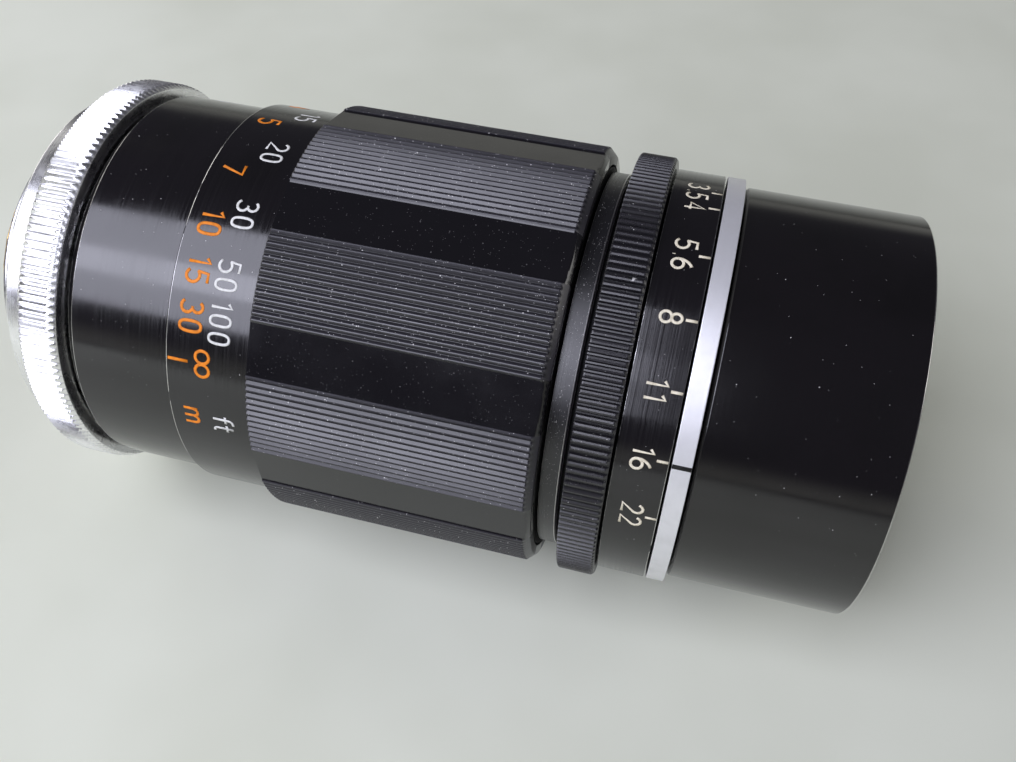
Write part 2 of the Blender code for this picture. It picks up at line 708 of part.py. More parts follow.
def click_stop():
    """A ball pressed outwards into the aperture ring's notches by a small coil spring."""
    along = (aperture_rear + aperture_front) / 2
    turn = radians(CLICK_ANGLE)
    ball_middle = lens_barrel_r + CLICK_BALL_RISE - CLICK_BALL_R
    mesh = bpy.data.meshes.new("click_ball")
    shape = bmesh.new()
    bmesh.ops.create_uvsphere(shape, u_segments=10, v_segments=6, radius=CLICK_BALL_R)
    shape.to_mesh(mesh)
    shape.free()
    ball_place = (ball_middle * cos(turn), ball_middle * sin(turn), along)
    place(bpy.data.objects.new("click_ball", mesh), steel, parts, ball_place)
    foot = lens_barrel_bore + FIT_GAP + 2 * CLICK_WIRE_R
    height = ball_middle - CLICK_BALL_R - 2 * CLICK_WIRE_R - foot
    points_per_turn = 8
    steps = CLICK_TURNS * points_per_turn
    curve = bpy.data.curves.new("click_spring", "CURVE")
    curve.dimensions = "3D"
    curve.bevel_depth = CLICK_WIRE_R
    curve.bevel_resolution = 0
    curve.use_fill_caps = True
    spline = curve.splines.new("POLY")
    spline.points.add(steps)
    for number, point in enumerate(spline.points):
        round_angle = 2 * pi * number / points_per_turn
        x, y = CLICK_SPRING_R * cos(round_angle), CLICK_SPRING_R * sin(round_angle)
        point.co = (x, y, height * number / steps, 1)
    spring = place(bpy.data.objects.new("click_spring", curve), steel)
    spring.location = (foot * cos(turn), foot * sin(turn), along)
    spring.rotation_euler = Vector((cos(turn), sin(turn), 0)).to_track_quat("Z", "Y").to_euler()


def drive_pin_place(closing):
    """Where a blade's drive pin is when the iris has closed by this share, in its own frame."""
    angle = arm_start + blade_turn * closing
    return PIVOT_R + DRIVE_PIN_ARM * cos(angle), DRIVE_PIN_ARM * sin(angle)


def turn_point(point, angle):
    x, y = point
    return x * cos(angle) - y * sin(angle), x * sin(angle) + y * cos(angle)


def mirrored(outline):
    """The blades close the other way round, so their frame is mirrored."""
    return [(x, -y) for x, y in outline]


def drive_slot(rest_share):
    """The outline of one slot: the drive pin's path over the turning ring, made wide enough."""
    half_width = DRIVE_PIN_R + PIN_CLEARANCE
    steps = 9
    path = []
    for step in range(steps + 1):
        closing = -SLOT_OVERRUN + (1 + 2 * SLOT_OVERRUN) * step / steps
        ring_turn = APERTURE_TURN * (closing - rest_share)
        path.append(turn_point(drive_pin_place(closing), -ring_turn))
    left, right = [], []
    for number, (x, y) in enumerate(path):
        before, after = path[max(number - 1, 0)], path[min(number + 1, steps)]
        run_x, run_y = after[0] - before[0], after[1] - before[1]
        run = hypot(run_x, run_y)
        left.append((x - run_y / run * half_width, y + run_x / run * half_width))
        right.append((x + run_y / run * half_width, y - run_x / run * half_width))
    return left + right[::-1]


def blade_outline():
    """One iris blade, fully open: a crescent with an ear for the pivot and the drive pin."""
    outer = BLADE_INNER_R + BLADE_WIDTH
    pin_x, pin_y = drive_pin_place(0)
    towards_pin = asin(-pin_y / hypot(pin_x, pin_y))
    tip = arc(outer, BLADE_SWEEP - 0.12, 0.16, 8)
    ear = arc(BLADE_EAR_R, radians(50), radians(-60), 3, (PIVOT_R, 0))
    drive_end = arc(BLADE_EAR_R, radians(-15), radians(-165), 4, (pin_x, pin_y))
    heel = [(outer * cos(towards_pin), -outer * sin(towards_pin))]
    inside = arc(BLADE_INNER_R, -0.1, BLADE_SWEEP, 9)
    return tip + ear + drive_end + heel + inside


def iris():
    rest_share = APERTURE_AT_REST / APERTURE_TURN
    pitch = 2 * pi / BLADE_COUNT
    rim, clear = circle(cell_r, INNER_SIDES), circle(IRIS_CLEAR_R, INNER_SIDES)
    pivot_holes = [
        circle(
            PIVOT_PIN_R + PIN_CLEARANCE,
            8,
            (PIVOT_R * cos(i * pitch), PIVOT_R * sin(i * pitch)),
        )
        for i in range(BLADE_COUNT)
    ]
    base_front = base_plate_rear + IRIS_PLATE_THICKNESS
    flat("iris_base_plate", [rim, clear, *pivot_holes], base_plate_rear, base_front, black_matt)
    slot = mirrored(drive_slot(rest_share))
    slots = [[turn_point(p, i * pitch) for p in slot] for i in range(BLADE_COUNT)]
    plate_front = drive_plate_rear + IRIS_PLATE_THICKNESS
    flat("iris_drive_plate", [rim, clear, *slots], drive_plate_rear, plate_front, black_matt)
    closed_by = blade_turn * rest_share
    outline = mirrored([(x - PIVOT_R, y) for x, y in blade_outline()])
    pin_x, pin_y = drive_pin_place(0)
    for number in range(BLADE_COUNT):
        rear = blades_rear + number * BLADE_PITCH
        front = rear + BLADE_THICKNESS
        angle = number * pitch
        pivot = (PIVOT_R * cos(angle), PIVOT_R * sin(angle))
        turn = angle - closed_by
        name = f"iris_blade_{number + 1}"
        blade = as_mesh(flat(name, [outline], rear, front, blued_steel, parts, pivot, turn))
        inside = BLADE_THICKNESS / 3
        for pin, centre, radius, pin_rear, pin_front in (
            ("pivot", (0, 0), PIVOT_PIN_R, base_plate_rear + FIT_GAP, front - inside),
            (
                "drive",
                (pin_x - PIVOT_R, -pin_y),
                DRIVE_PIN_R,
                rear + inside,
                plate_front - FIT_GAP,
            ),
        ):
            shape = [circle(radius, 8, centre)]
            stud = flat(
                f"{name}_{pin}_pin", shape, pin_rear, pin_front, None, cutters, pivot, turn
            )
            cut(blade, as_mesh(stud), "UNION")


def lens_element(name, radius, rear, front, rear_bulge, front_bulge):
    """A round of glass with spherical faces, given by its edge and how far each face bulges."""
    steps = 4

    def face(edge, bulge):
        if abs(bulge) < 0.001 * MM:
            return [(radius, edge), (0, edge)]
        curve_r = (radius**2 + bulge**2) / (2 * abs(bulge))
        way = 1 if bulge > 0 else -1
        half_angle = asin(radius / curve_r)
        rises = [half_angle * (1 - i / steps) for i in range(steps + 1)]
        return [
            (curve_r * sin(a), edge + way * (curve_r * cos(a) - curve_r * cos(half_angle)))
            for a in rises
        ]

    outline = face(front, front_bulge)[::-1] + face(rear, -rear_bulge)
    outline[0] = (0, outline[0][1])
    outline[-1] = (0, outline[-1][1])
    turned(name, outline, glass, INNER_SIDES, closed=False)


def optics():
    """Four elements in three groups, in a front cell and a rear cell."""
    cell_rear = carrier_front + FIT_GAP
    flint_rear = cell_rear + CELL_LIP_THICKNESS + FIT_GAP
    flint_front = flint_rear + FLINT_EDGE
    crown_rear = flint_front + FIT_GAP
    crown_front = crown_rear + CROWN_EDGE
    spacer_rear = crown_front + 2 * FIT_GAP
    spacer_front = spacer_rear + SPACER_WIDTH
    front_rear = spacer_front + FIT_GAP
    front_edge = front_rear + FRONT_EDGE
    retainer_rear = front_edge + 2 * FIT_GAP
    cell_front = retainer_rear + RETAINER_WIDTH
    cell_bore = cell_r - CELL_WALL
    turned(
        "front_cell",
        [
            (cell_r, cell_front),
            (cell_r, cell_rear),
            (cell_bore - CELL_LIP, cell_rear),
            (cell_bore - CELL_LIP, cell_rear + CELL_LIP_THICKNESS),
            (cell_bore, cell_rear + CELL_LIP_THICKNESS),
            (cell_bore, cell_front),
        ],
        black_matt,
        OUTER_SIDES,
    )
    lens_element("doublet_flint", glass_r, flint_rear, flint_front, *FLINT_BULGES)
    lens_element("doublet_crown", glass_r, crown_rear, crown_front, *CROWN_BULGES)
    spacer = (glass_r, glass_r - RETAINER_WALL, spacer_rear, spacer_front)
    tube("element_spacer", *spacer, black_matt)
    lens_element("front_element", glass_r, front_rear, front_edge, *FRONT_BULGES)
    ring = (glass_r, glass_r - RETAINER_WALL, retainer_rear, cell_front)
    tube("front_retaining_ring", *ring, black_matt, OUTER_SIDES)

    body_front = base_plate_rear - FIT_GAP
    body_rear = inner_helicoid_front + FIT_GAP
    tube_bore = REAR_GLASS_R + FIT_GAP
    tube_r = tube_bore + REAR_TUBE_WALL
    tube_rear = body_rear - REAR_TUBE_LENGTH
    inner_bore = tube_bore - REAR_CELL_WALL
    glass_stop = tube_rear + RETAINER_WIDTH + REAR_EDGE + 4 * FIT_GAP
    turned(
        "rear_cell",
        [
            (cell_r, body_front),
            (cell_r, body_rear),
            (tube_r, body_rear),
            (tube_r, tube_rear),
            (tube_bore, tube_rear),
            (tube_bore, glass_stop),
            (inner_bore, glass_stop),
            (inner_bore, body_rear + REAR_CELL_WALL),
            (cell_r - REAR_CELL_WALL, body_rear + REAR_CELL_WALL),
            (cell_r - REAR_CELL_WALL, body_front),
        ],
        black_matt,
    )
    rear_retainer = (REAR_GLASS_R, REAR_GLASS_R - RETAINER_WALL)
    tube("rear_retaining_ring", *rear_retainer, tube_rear, tube_rear + RETAINER_WIDTH, black_matt)
    glass_rear = tube_rear + RETAINER_WIDTH + 2 * FIT_GAP
    glass_front = glass_rear + REAR_EDGE
    lens_element("rear_element", REAR_GLASS_R, glass_rear, glass_front, *REAR_BULGES)


mount_flange()
bevelled_tube(
    "mount_grip_ring",
    mount_grip_r,
    mount_grip_bore,
    knurl_rear + FIT_GAP / 2,
    knurl_front,
    chrome,
)
stop_pin_shape("focus_stop_pin", STOP_PIN_R, 0)
fixed_barrel()
rf_drive_sleeve()
rf_cam_ring()
inner_helicoid()
lens_barrel()
focus_grip()
front_barrel()
aperture_ring()
click_stop()
iris()
optics()
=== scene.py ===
"""The looks of the 135 mm prime lens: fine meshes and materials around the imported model.

The lens lies along +X. A point on it is given by its place x along the axis, its radius r
and its angle t round the axis, which is 0 at the top and grows towards the camera's side.
"""

from math import atan2, copysign, cos, hypot, pi, radians, sin, sqrt
import bmesh
import bpy
from mathutils import Matrix, Vector


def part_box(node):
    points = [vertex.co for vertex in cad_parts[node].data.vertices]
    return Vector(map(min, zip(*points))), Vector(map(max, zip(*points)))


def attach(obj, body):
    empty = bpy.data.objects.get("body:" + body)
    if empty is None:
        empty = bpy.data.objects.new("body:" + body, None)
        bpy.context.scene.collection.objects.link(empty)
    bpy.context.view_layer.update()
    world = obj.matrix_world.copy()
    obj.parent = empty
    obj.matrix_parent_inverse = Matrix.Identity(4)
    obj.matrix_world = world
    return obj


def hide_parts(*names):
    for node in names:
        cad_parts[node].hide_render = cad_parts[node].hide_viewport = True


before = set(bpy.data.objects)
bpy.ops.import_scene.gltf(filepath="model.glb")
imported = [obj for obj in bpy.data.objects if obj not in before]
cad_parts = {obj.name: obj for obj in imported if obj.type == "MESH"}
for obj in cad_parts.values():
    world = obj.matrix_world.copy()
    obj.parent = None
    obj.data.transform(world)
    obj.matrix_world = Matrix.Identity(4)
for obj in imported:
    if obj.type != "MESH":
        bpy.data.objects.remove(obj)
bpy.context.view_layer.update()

MM = 0.001
AXIS_Z = (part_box("fixed_barrel")[0].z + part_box("fixed_barrel")[1].z) / 2
THREAD_LENGTH = 4.2 * MM
FLANGE_THICKNESS = 3.6 * MM
# The mount's seating face, behind which the thread stands
FLANGE_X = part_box("mount_flange")[0].x + THREAD_LENGTH

# Camera and light: directions are (along the axis, towards the camera, across)
CAMERA_ANGLE = radians(40.5)
CAMERA_X = 31.31 * MM
CAMERA_DISTANCE = 132.78 * MM
CAMERA_FORWARD = (-0.159, -0.98653, -0.03843)
CAMERA_RIGHT = (0.9669, -0.16348, 0.19612)
CAMERA_LENS = 34.49

# Surfaces
ROUND = 0.07 * MM  # the small radius on machined edges
GUARD = 0.13 * MM  # how far wear reaches from an edge
CIRCLE = 240  # columns round a turned piece
SCREW_CIRCLE = 32
LENS_CIRCLE = 96
LENS_STEPS = 24  # from a lens's apex to its edge
SHARP = 32  # degrees: edges bent more than this aren't shaded smooth
SHINE = 0.7  # specular level of the black finishes
BARE = (0.62, 0.61, 0.6)  # the metal under them

# Threads
MOUNT_THREAD_DEPTH = 0.5 * MM
MOUNT_THREAD_PITCH = 0.977 * MM  # 26 to the inch
FILTER_THREAD_DEPTH = 0.32 * MM
FILTER_THREAD_PITCH = 0.75 * MM

# Knurls and ribs
MOUNT_TEETH = 168
MOUNT_TOOTH_DEPTH = 0.48 * MM
RING_RIDGES = 188
RING_RIDGE_DEPTH = 0.34 * MM
LAND_COUNT = 10
LAND_ANGLE = 22.0
FLANK_ANGLE = 0.6
RIBS_PER_LAND = 14
RIB_TOP = 0.15  # of the ribs' pitch
RIB_DEPTH = 0.235 * MM

# Scales: turns are degrees of the head, and follow from the helicoid and the focal length
FOCAL_LENGTH = 135.0
TURN_PER_MM = 19.6
INFINITY_ANGLE = 61.7
METRES = ("1.5", "1.75", "2", "2.5", "3", "4", "5", "7", "10", "15", "30")
FEET = ("5", "6", "7", "8", "10", "12", "15", "20", "30", "50", "100")
FOOT = 304.8
UNIT_ANGLE = 78.5
STOPS = ("3.5", "4", "5.6", "8", "11", "16", "22")
STOP_ANGLES = (-15.0, -7.0, 10.2, 27.2, 44.2, 61.2, 78.2)
FOCUS_INDEX_ANGLE = -51.0
DEPTH_STOPS = (4, 8, 16, 22)
DEPTH_BLUR = 0.033  # mm, the blur circle behind the depth-of-field lines


def lens_point(x, r, t):
    return Vector((x, -r * sin(t), AXIS_Z + r * cos(t)))


def span(node):
    """(rear x, front x, bore, radius) of a turned CAD node."""
    low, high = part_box(node)
    radii = [hypot(v.co.y, v.co.z - AXIS_Z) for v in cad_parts[node].data.vertices]
    return low.x, high.x, min(radii), max(radii)


# Mesh building


def arc(cx, cy, rx, ry, start, end, steps=10):
    turns = [radians(start + (end - start) * i / steps) for i in range(steps + 1)]
    return [(cx + rx * cos(a), cy + ry * sin(a)) for a in turns]


def rounded(corners, radius=ROUND):
    """An outline with its corners rounded: (x, r, wear). Wear is 1 on a corner and 0 at the guard points."""
    out = []
    for i, corner in enumerate(corners):
        if len(corner) > 3:
            out.append(corner)
            continue
        here = Vector(corner[:2])
        before, after = Vector(corners[i - 1][:2]), Vector(corners[(i + 1) % len(corners)][:2])
        back, ahead = before - here, after - here
        reach = min(back.length, ahead.length)
        size = min(radius, 0.3 * reach)
        guard = min(GUARD, 0.45 * reach)
        back.normalize()
        ahead.normalize()
        start, end = here + back * size, here + ahead * size
        middle = (start + end) / 4 + here / 2
        wear = corner[2] if len(corner) > 2 else 1.0
        out += [(*(here + back * guard), 0.0), (*start, wear), (*middle, wear), (*end, wear)]
        out.append((*(here + ahead * guard), 0.0))
    return out


def even_columns(count=CIRCLE):
    return [(2 * pi * i / count, 0.0, 0.0) for i in range(count)]


def new_piece(name, mesh, body, material, replaces=()):
    mesh.materials.append(material)
    piece = bpy.data.objects.new(name, mesh)
    bpy.context.scene.collection.objects.link(piece)
    if replaces:
        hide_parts(*replaces)
    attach(piece, body)
    return piece


def turned(name, outline, body, material, columns=None, teeth_from=None):
    """A closed outline swept round the axis. A column lowers what stands above teeth_from minus its sink."""
    columns = columns or even_columns()
    mesh = bpy.data.meshes.new(name)
    shape = bmesh.new()
    wear, groove, mark = (shape.verts.layers.float.new(layer) for layer in ("wear", "groove", "mark"))
    deepest = max(sink for _, sink, _ in columns) or 1.0
    rings = []
    for angle, sink, marked in columns:
        ring = []
        for point in outline:
            x, r = point[:2]
            worn = point[2] if len(point) == 3 else 0.0
            sunk = 0.0
            if len(point) > 3:
                r, sunk, worn = threaded(point, angle)
            elif teeth_from:
                limit = teeth_from - sink
                sunk = sink / deepest if r > teeth_from - deepest - ROUND else 0.0
                worn = worn if r <= limit + 0.02 * MM else 0.0
                r = min(r, limit)
            vert = shape.verts.new(lens_point(x, r, angle))
            vert[wear], vert[groove], vert[mark] = worn, sunk, marked
            ring.append(vert)
        rings.append(ring)
    for here, following in zip(rings, rings[1:] + rings[:1]):
        for i in range(len(outline)):
            k = (i + 1) % len(outline)
            shape.faces.new((here[i], here[k], following[k], following[i]))
    bmesh.ops.recalc_face_normals(shape, faces=shape.faces)
    shape.to_mesh(mesh)
    shape.free()
    mesh.shade_smooth()
    mesh.set_sharp_from_angle(angle=radians(SHARP))
    return new_piece(name, mesh, body, material, (name.replace("_fine", ""),))


def ring_outline(x0, x1, bore, radius, rear=(0.0, 0.0), front=(0.0, 0.0), wear=1.0, steps=0):
    """A rectangular section whose outer edges are cut back by (along the axis, inwards), in mm.

    steps adds points along the slopes, for teeth to end on.
    """
    corners = [(x0, bore, 0.0), (x0, radius - rear[1] * MM, wear)]
    if rear[0]:
        corners.append((x0 + rear[0] * MM, radius, wear))
    if front[0]:
        corners.append((x1 - front[0] * MM, radius, wear))
    corners += [(x1, radius - front[1] * MM, wear), (x1, bore, 0.0)]
    outline = rounded(corners)
    if not steps:
        return outline
    dense = []
    for here, after in zip(outline, outline[1:] + outline[:1]):
        dense.append(here)
        if abs(after[0] - here[0]) > 1e-6 and abs(after[1] - here[1]) > 0.02 * MM:
            for i in range(1, steps):
                dense.append(tuple(a + (b - a) * i / steps for a, b in zip(here, after)))
    return dense


def helix(x0, x1, radius, depth, pitch, inward=False, per_pitch=8):
    """The points of a screw thread from x0 to x1: (x, r, depth, pitch, side, share of the way)."""
    count = max(2, round(abs(x1 - x0) / pitch * per_pitch))
    side = -1 if inward else 1
    return [(x0 + (x1 - x0) * i / count, radius, depth, pitch, side, i / count) for i in range(count + 1)]


def threaded(point, angle):
    """(radius, depth in the groove, wear) of a thread's point at this angle; a thread fades at its ends."""
    x, r, depth, pitch, side, share = point
    phase = (x / pitch - angle / (2 * pi)) % 1.0
    sunk = min(1.0, 6 * share, 6 * (1 - share)) * abs(2 * phase - 1)
    return r - side * depth * sunk, sunk, 0.6 * (1 - sunk)


# Engraved figures: strokes in a box 0.6 wide and 1 high


def squarish(cx, cy, rx, ry, steps=24):
    """An oval with fuller corners than an ellipse."""
    turns = [2 * pi * i / steps for i in range(steps + 1)]
    return [
        (cx + copysign(rx * abs(cos(a)) ** 0.75, cos(a)), cy + copysign(ry * abs(sin(a)) ** 0.75, sin(a)))
        for a in turns
    ]


GLYPHS = {
    "0": [squarish(0.3, 0.5, 0.225, 0.47)],
    "1": [[(0.14, 0.8), (0.34, 0.97), (0.34, 0.03)]],
    "2": [arc(0.3, 0.71, 0.24, 0.26, 165, -35, 10) + [(0.06, 0.03), (0.56, 0.03)]],
    "3": [arc(0.28, 0.74, 0.22, 0.23, 150, -85, 9) + arc(0.28, 0.28, 0.26, 0.25, 85, -150, 10)],
    "4": [[(0.44, 0.03), (0.44, 0.97), (0.05, 0.3), (0.58, 0.3)]],
    "5": [[(0.52, 0.97), (0.14, 0.97), (0.09, 0.55)] + arc(0.28, 0.32, 0.27, 0.29, 130, -145, 12)],
    "6": [arc(0.62, 0.34, 0.56, 0.62, 112, 180, 6) + arc(0.31, 0.29, 0.25, 0.26, 180, 540, 16)],
    "7": [[(0.06, 0.97), (0.55, 0.97), (0.24, 0.03)]],
    "8": [arc(0.3, 0.74, 0.2, 0.22, 0, 360, 16), arc(0.3, 0.27, 0.25, 0.25, 0, 360, 16)],
    ".": [[(0.13, 0.05), (0.15, 0.05), (0.17, 0.05)]],
    "m": [
        [(0.0, 0.03), (0.0, 0.66)],
        [(0.0, 0.45)] + arc(0.2, 0.45, 0.18, 0.2, 170, 0, 6) + [(0.38, 0.03)],
        [(0.38, 0.45)] + arc(0.58, 0.45, 0.18, 0.2, 170, 0, 6) + [(0.76, 0.03)],
    ],
    "f": [arc(0.5, 0.78, 0.2, 0.19, 75, 180, 6) + [(0.3, 0.03)], [(0.12, 0.62), (0.5, 0.62)]],
    "t": [
        [(0.26, 0.95), (0.26, 0.18)] + arc(0.42, 0.18, 0.16, 0.15, 180, 280, 5),
        [(0.08, 0.64), (0.46, 0.64)],
    ],
}
ADVANCE = {".": 0.3, "1": 0.62, "m": 1.0, "f": 0.55, "t": 0.5}
LIE = 0.14  # how thick the paint stands, as a share of the stroke's own height


def figures(name, words, ring, body, material, stroke=0.3 * MM):
    """Painted figures on a ring. Each word is (strokes or text, angle, rear x, height)."""
    radius = span(ring)[3]
    line = bpy.data.curves.new(name, "CURVE")
    line.dimensions = "3D"
    line.bevel_depth = stroke / 2
    line.bevel_resolution = 1
    line.use_fill_caps = True
    for word, angle, x, height in words:
        strokes = []
        if isinstance(word, str):
            width = sum(ADVANCE.get(c, 0.78) for c in word) - 0.18
            cursor = -width / 2
            for letter in word:
                strokes += [[(cursor + px, py) for px, py in part] for part in GLYPHS[letter]]
                cursor += ADVANCE.get(letter, 0.78)
        else:
            strokes = word
        for part in strokes:
            spline = line.splines.new("POLY")
            closed = (Vector(part[0]) - Vector(part[-1])).length < 1e-6
            points = part[:-1] if closed else part
            spline.points.add(len(points) - 1)
            spline.use_cyclic_u = closed
            for point, (px, py) in zip(spline.points, points):
                point.co = (radians(angle) * radius + px * height, x + py * height, 0.0, 1.0)
    drawn = bpy.data.objects.new(name + "_line", line)
    bpy.context.scene.collection.objects.link(drawn)
    bpy.context.view_layer.update()
    mesh = bpy.data.meshes.new_from_object(drawn.evaluated_get(bpy.context.evaluated_depsgraph_get()))
    bpy.data.objects.remove(drawn)
    for vert in mesh.vertices:
        along, axial, lift = vert.co
        vert.co = lens_point(axial, radius + LIE * lift, along / radius)
    shape = bmesh.new()
    shape.from_mesh(mesh)
    bmesh.ops.remove_doubles(shape, verts=shape.verts, dist=1e-7)
    bmesh.ops.recalc_face_normals(shape, faces=shape.faces)
    shape.to_mesh(mesh)
    shape.free()
    mesh.name = name
    mesh.materials.clear()
    mesh.shade_smooth()
    return new_piece(name, mesh, body, material)


# Materials


def add(tree, kind, settings=None, **sockets):
    """A shader node with its settings, and its sockets set or linked."""
    made = tree.nodes.new("ShaderNode" + kind)
    for key, value in (settings or {}).items():
        setattr(made, key, value)
    for key, value in sockets.items():
        plug(tree, made.inputs[key.replace("_", " ")], value)
    return made


def plug(tree, socket, value):
    if isinstance(value, bpy.types.NodeSocket):
        tree.links.new(value, socket)
    else:
        socket.default_value = value


def maths(tree, operation, *values):
    made = tree.nodes.new("ShaderNodeMath")
    made.operation = operation
    for socket, value in zip(made.inputs, values):
        plug(tree, socket, value)
    return made.outputs[0]


def rise(tree, value, low, high, to=1.0, base=0.0):
    """0 (or base) below low and 1 (or to) above high, smooth between."""
    made = add(tree, "MapRange", {"interpolation_type": "SMOOTHSTEP"})
    numbers = {"Value": value, "From Min": low, "From Max": high, "To Min": base, "To Max": to}
    for name, number in numbers.items():
        plug(tree, made.inputs[name], number)
    return made.outputs[0]


def blend(tree, share, a, b):
    made = add(tree, "Mix", {"data_type": "RGBA"})
    plug(tree, made.inputs[0], share)
    plug(tree, made.inputs[6], a)
    plug(tree, made.inputs[7], b)
    return made.outputs[2]


def attribute(tree, name):
    return add(tree, "Attribute", {"attribute_name": name}).outputs["Fac"]


def noise(tree, vector, scale, detail=3.0, rough=0.55):
    return add(tree, "TexNoise", Vector=vector, Scale=scale, Detail=detail, Roughness=rough).outputs["Fac"]


def paint(colour):
    return (*colour, 1.0)


class Surface:
    """A material under way: the places on the lens that its patterns are drawn from, and its shader."""

    def __init__(self, name, roughness, metallic=0.0, specular=0.5):
        self.material = bpy.data.materials.new(name)
        self.material.use_nodes = True
        self.tree = self.material.node_tree
        self.shader = self.tree.nodes["Principled BSDF"]
        self.shader.inputs["Metallic"].default_value = metallic
        self.shader.inputs["Roughness"].default_value = roughness
        self.shader.inputs["Specular IOR Level"].default_value = specular
        here = add(self.tree, "TexCoord")
        self.place = here.outputs["Object"]
        self.normal = add(self.tree, "SeparateXYZ", Vector=here.outputs["Normal"]).outputs["Z"]
        parts = add(self.tree, "SeparateXYZ", Vector=self.place)
        height = maths(self.tree, "SUBTRACT", parts.outputs["Z"], AXIS_Z)
        squares = maths(
            self.tree,
            "ADD",
            maths(self.tree, "MULTIPLY", parts.outputs["Y"], parts.outputs["Y"]),
            maths(self.tree, "MULTIPLY", height, height),
        )
        radius = maths(self.tree, "SQRT", squares)
        self.section = add(self.tree, "CombineXYZ", X=parts.outputs["X"], Y=radius).outputs[0]

    def turning(self, per_mm=9.0):
        """Fine rings left by the lathe, the same all round."""
        return noise(self.tree, self.section, per_mm * 1000, 4.0, 0.7)

    def cloud(self, per_mm, detail=3.0):
        return noise(self.tree, self.place, per_mm * 1000, detail)

    def specks(self, per_mm, share, size=0.18):
        """Small dots in a share of the cells of a grid."""
        cells = add(self.tree, "TexVoronoi", {"feature": "F1"}, Vector=self.place, Scale=per_mm * 1000)
        near = rise(self.tree, cells.outputs["Distance"], size, size * 0.5)
        chosen = add(self.tree, "SeparateColor", Color=cells.outputs["Color"]).outputs[0]
        return maths(self.tree, "MULTIPLY", near, maths(self.tree, "LESS_THAN", chosen, share))

    def colour(self, value):
        plug(self.tree, self.shader.inputs["Base Color"], value)

    def set(self, name, value):
        plug(self.tree, self.shader.inputs[name], value)

    def bump(self, height, distance, strength=1.0):
        made = add(self.tree, "Bump", Height=height, Distance=distance, Strength=strength)
        self.set("Normal", made.outputs["Normal"])

    def worn(self, low=0.55, high=0.7, patch=0.5):
        """Where an edge has lost its finish: the wear drawn in the mesh, broken up by patches."""
        edge = attribute(self.tree, "wear")
        ragged = maths(self.tree, "MULTIPLY", edge, maths(self.tree, "ADD", self.cloud(patch, 5.0), 0.35))
        return rise(self.tree, ragged, low, high)


def black_finish(name, colour, roughness, lines, dust, low=0.7, high=0.8, per_mm=7.0):
    """Black enamel or anodising, with lathe lines, smears, dust on what faces up, and worn edges."""
    made = Surface(name, roughness, specular=SHINE)
    tree = made.tree
    turning = made.turning(per_mm)
    smear = made.cloud(0.09, 4.0)
    worn = made.worn(low, high)
    up = rise(tree, made.normal, -0.4, 0.7, 1.0, 0.25)
    spots = maths(tree, "ADD", made.specks(2.6, 0.05 * dust, 0.2), made.specks(5.2, 0.09 * dust, 0.22))
    dusty = maths(tree, "MULTIPLY", spots, up)
    deep = tuple(0.6 * c for c in colour)
    base = blend(tree, rise(tree, smear, 0.35, 0.7), paint(colour), paint(deep))
    base = blend(tree, dusty, base, paint((0.55, 0.54, 0.52)))
    made.colour(blend(tree, worn, base, paint(BARE)))
    made.set("Metallic", worn)
    rough = rise(tree, smear, 0.3, 0.75, roughness + 0.05, roughness - 0.02)
    rough = maths(tree, "ADD", rough, maths(tree, "MULTIPLY", dusty, 0.5))
    ringed = maths(tree, "MULTIPLY", maths(tree, "SUBTRACT", turning, 0.5), lines * 0.25)
    rough = maths(tree, "ADD", rough, ringed)
    made.set("Roughness", rough)
    made.bump(turning, 0.004 * MM * lines)
    return made


def gloss_black():
    return black_finish("gloss_black", (0.0065, 0.0055, 0.007), 0.14, 1.7, 0.12, per_mm=4.5).material


def smooth_gloss_black():
    return black_finish("smooth_gloss_black", (0.0055, 0.0045, 0.0055), 0.12, 0.35, 0.07, 0.5, 0.62).material


def satin_black():
    return black_finish("satin_black", (0.01, 0.0095, 0.011), 0.3, 0.7, 4.0, 0.6, 0.72).material


def grip_black():
    """Satin ribs with dust on their tops, painted shade in the grooves between them, and glossy valleys."""
    made = Surface("grip_black", 0.3, specular=SHINE)
    tree = made.tree
    ribbed = rise(tree, attribute(tree, "mark"), 0.2, 0.8)
    # Painted shade: the grooves between the ribs are darkened towards black in colour.
    groove = maths(tree, "MULTIPLY", rise(tree, attribute(tree, "groove"), 0.05, 0.45), ribbed)
    smear = made.cloud(0.12, 4.0)
    turning = made.turning(5.0)
    up = rise(tree, made.normal, -0.3, 0.8, 1.0, 0.4)
    spots = maths(tree, "ADD", made.specks(2.2, 0.05, 0.22), made.specks(4.4, 0.12, 0.26))
    dusty = maths(tree, "MULTIPLY", spots, up)
    dusty = maths(tree, "MULTIPLY", dusty, rise(tree, ribbed, 0.2, 0.8, 1.0, 0.12))
    base = blend(tree, ribbed, paint((0.005, 0.0045, 0.006)), paint((0.02, 0.0185, 0.025)))
    base = blend(tree, groove, base, paint((0.006, 0.0055, 0.0075)))
    made.colour(blend(tree, dusty, base, paint((0.7, 0.69, 0.67))))
    rough = rise(tree, ribbed, 0.2, 0.8, 0.31, 0.1)
    rough = maths(tree, "ADD", rough, rise(tree, smear, 0.3, 0.75, 0.06, -0.02))
    made.set("Roughness", maths(tree, "ADD", rough, maths(tree, "MULTIPLY", dusty, 0.4)))
    made.bump(turning, 0.003 * MM)
    return made.material


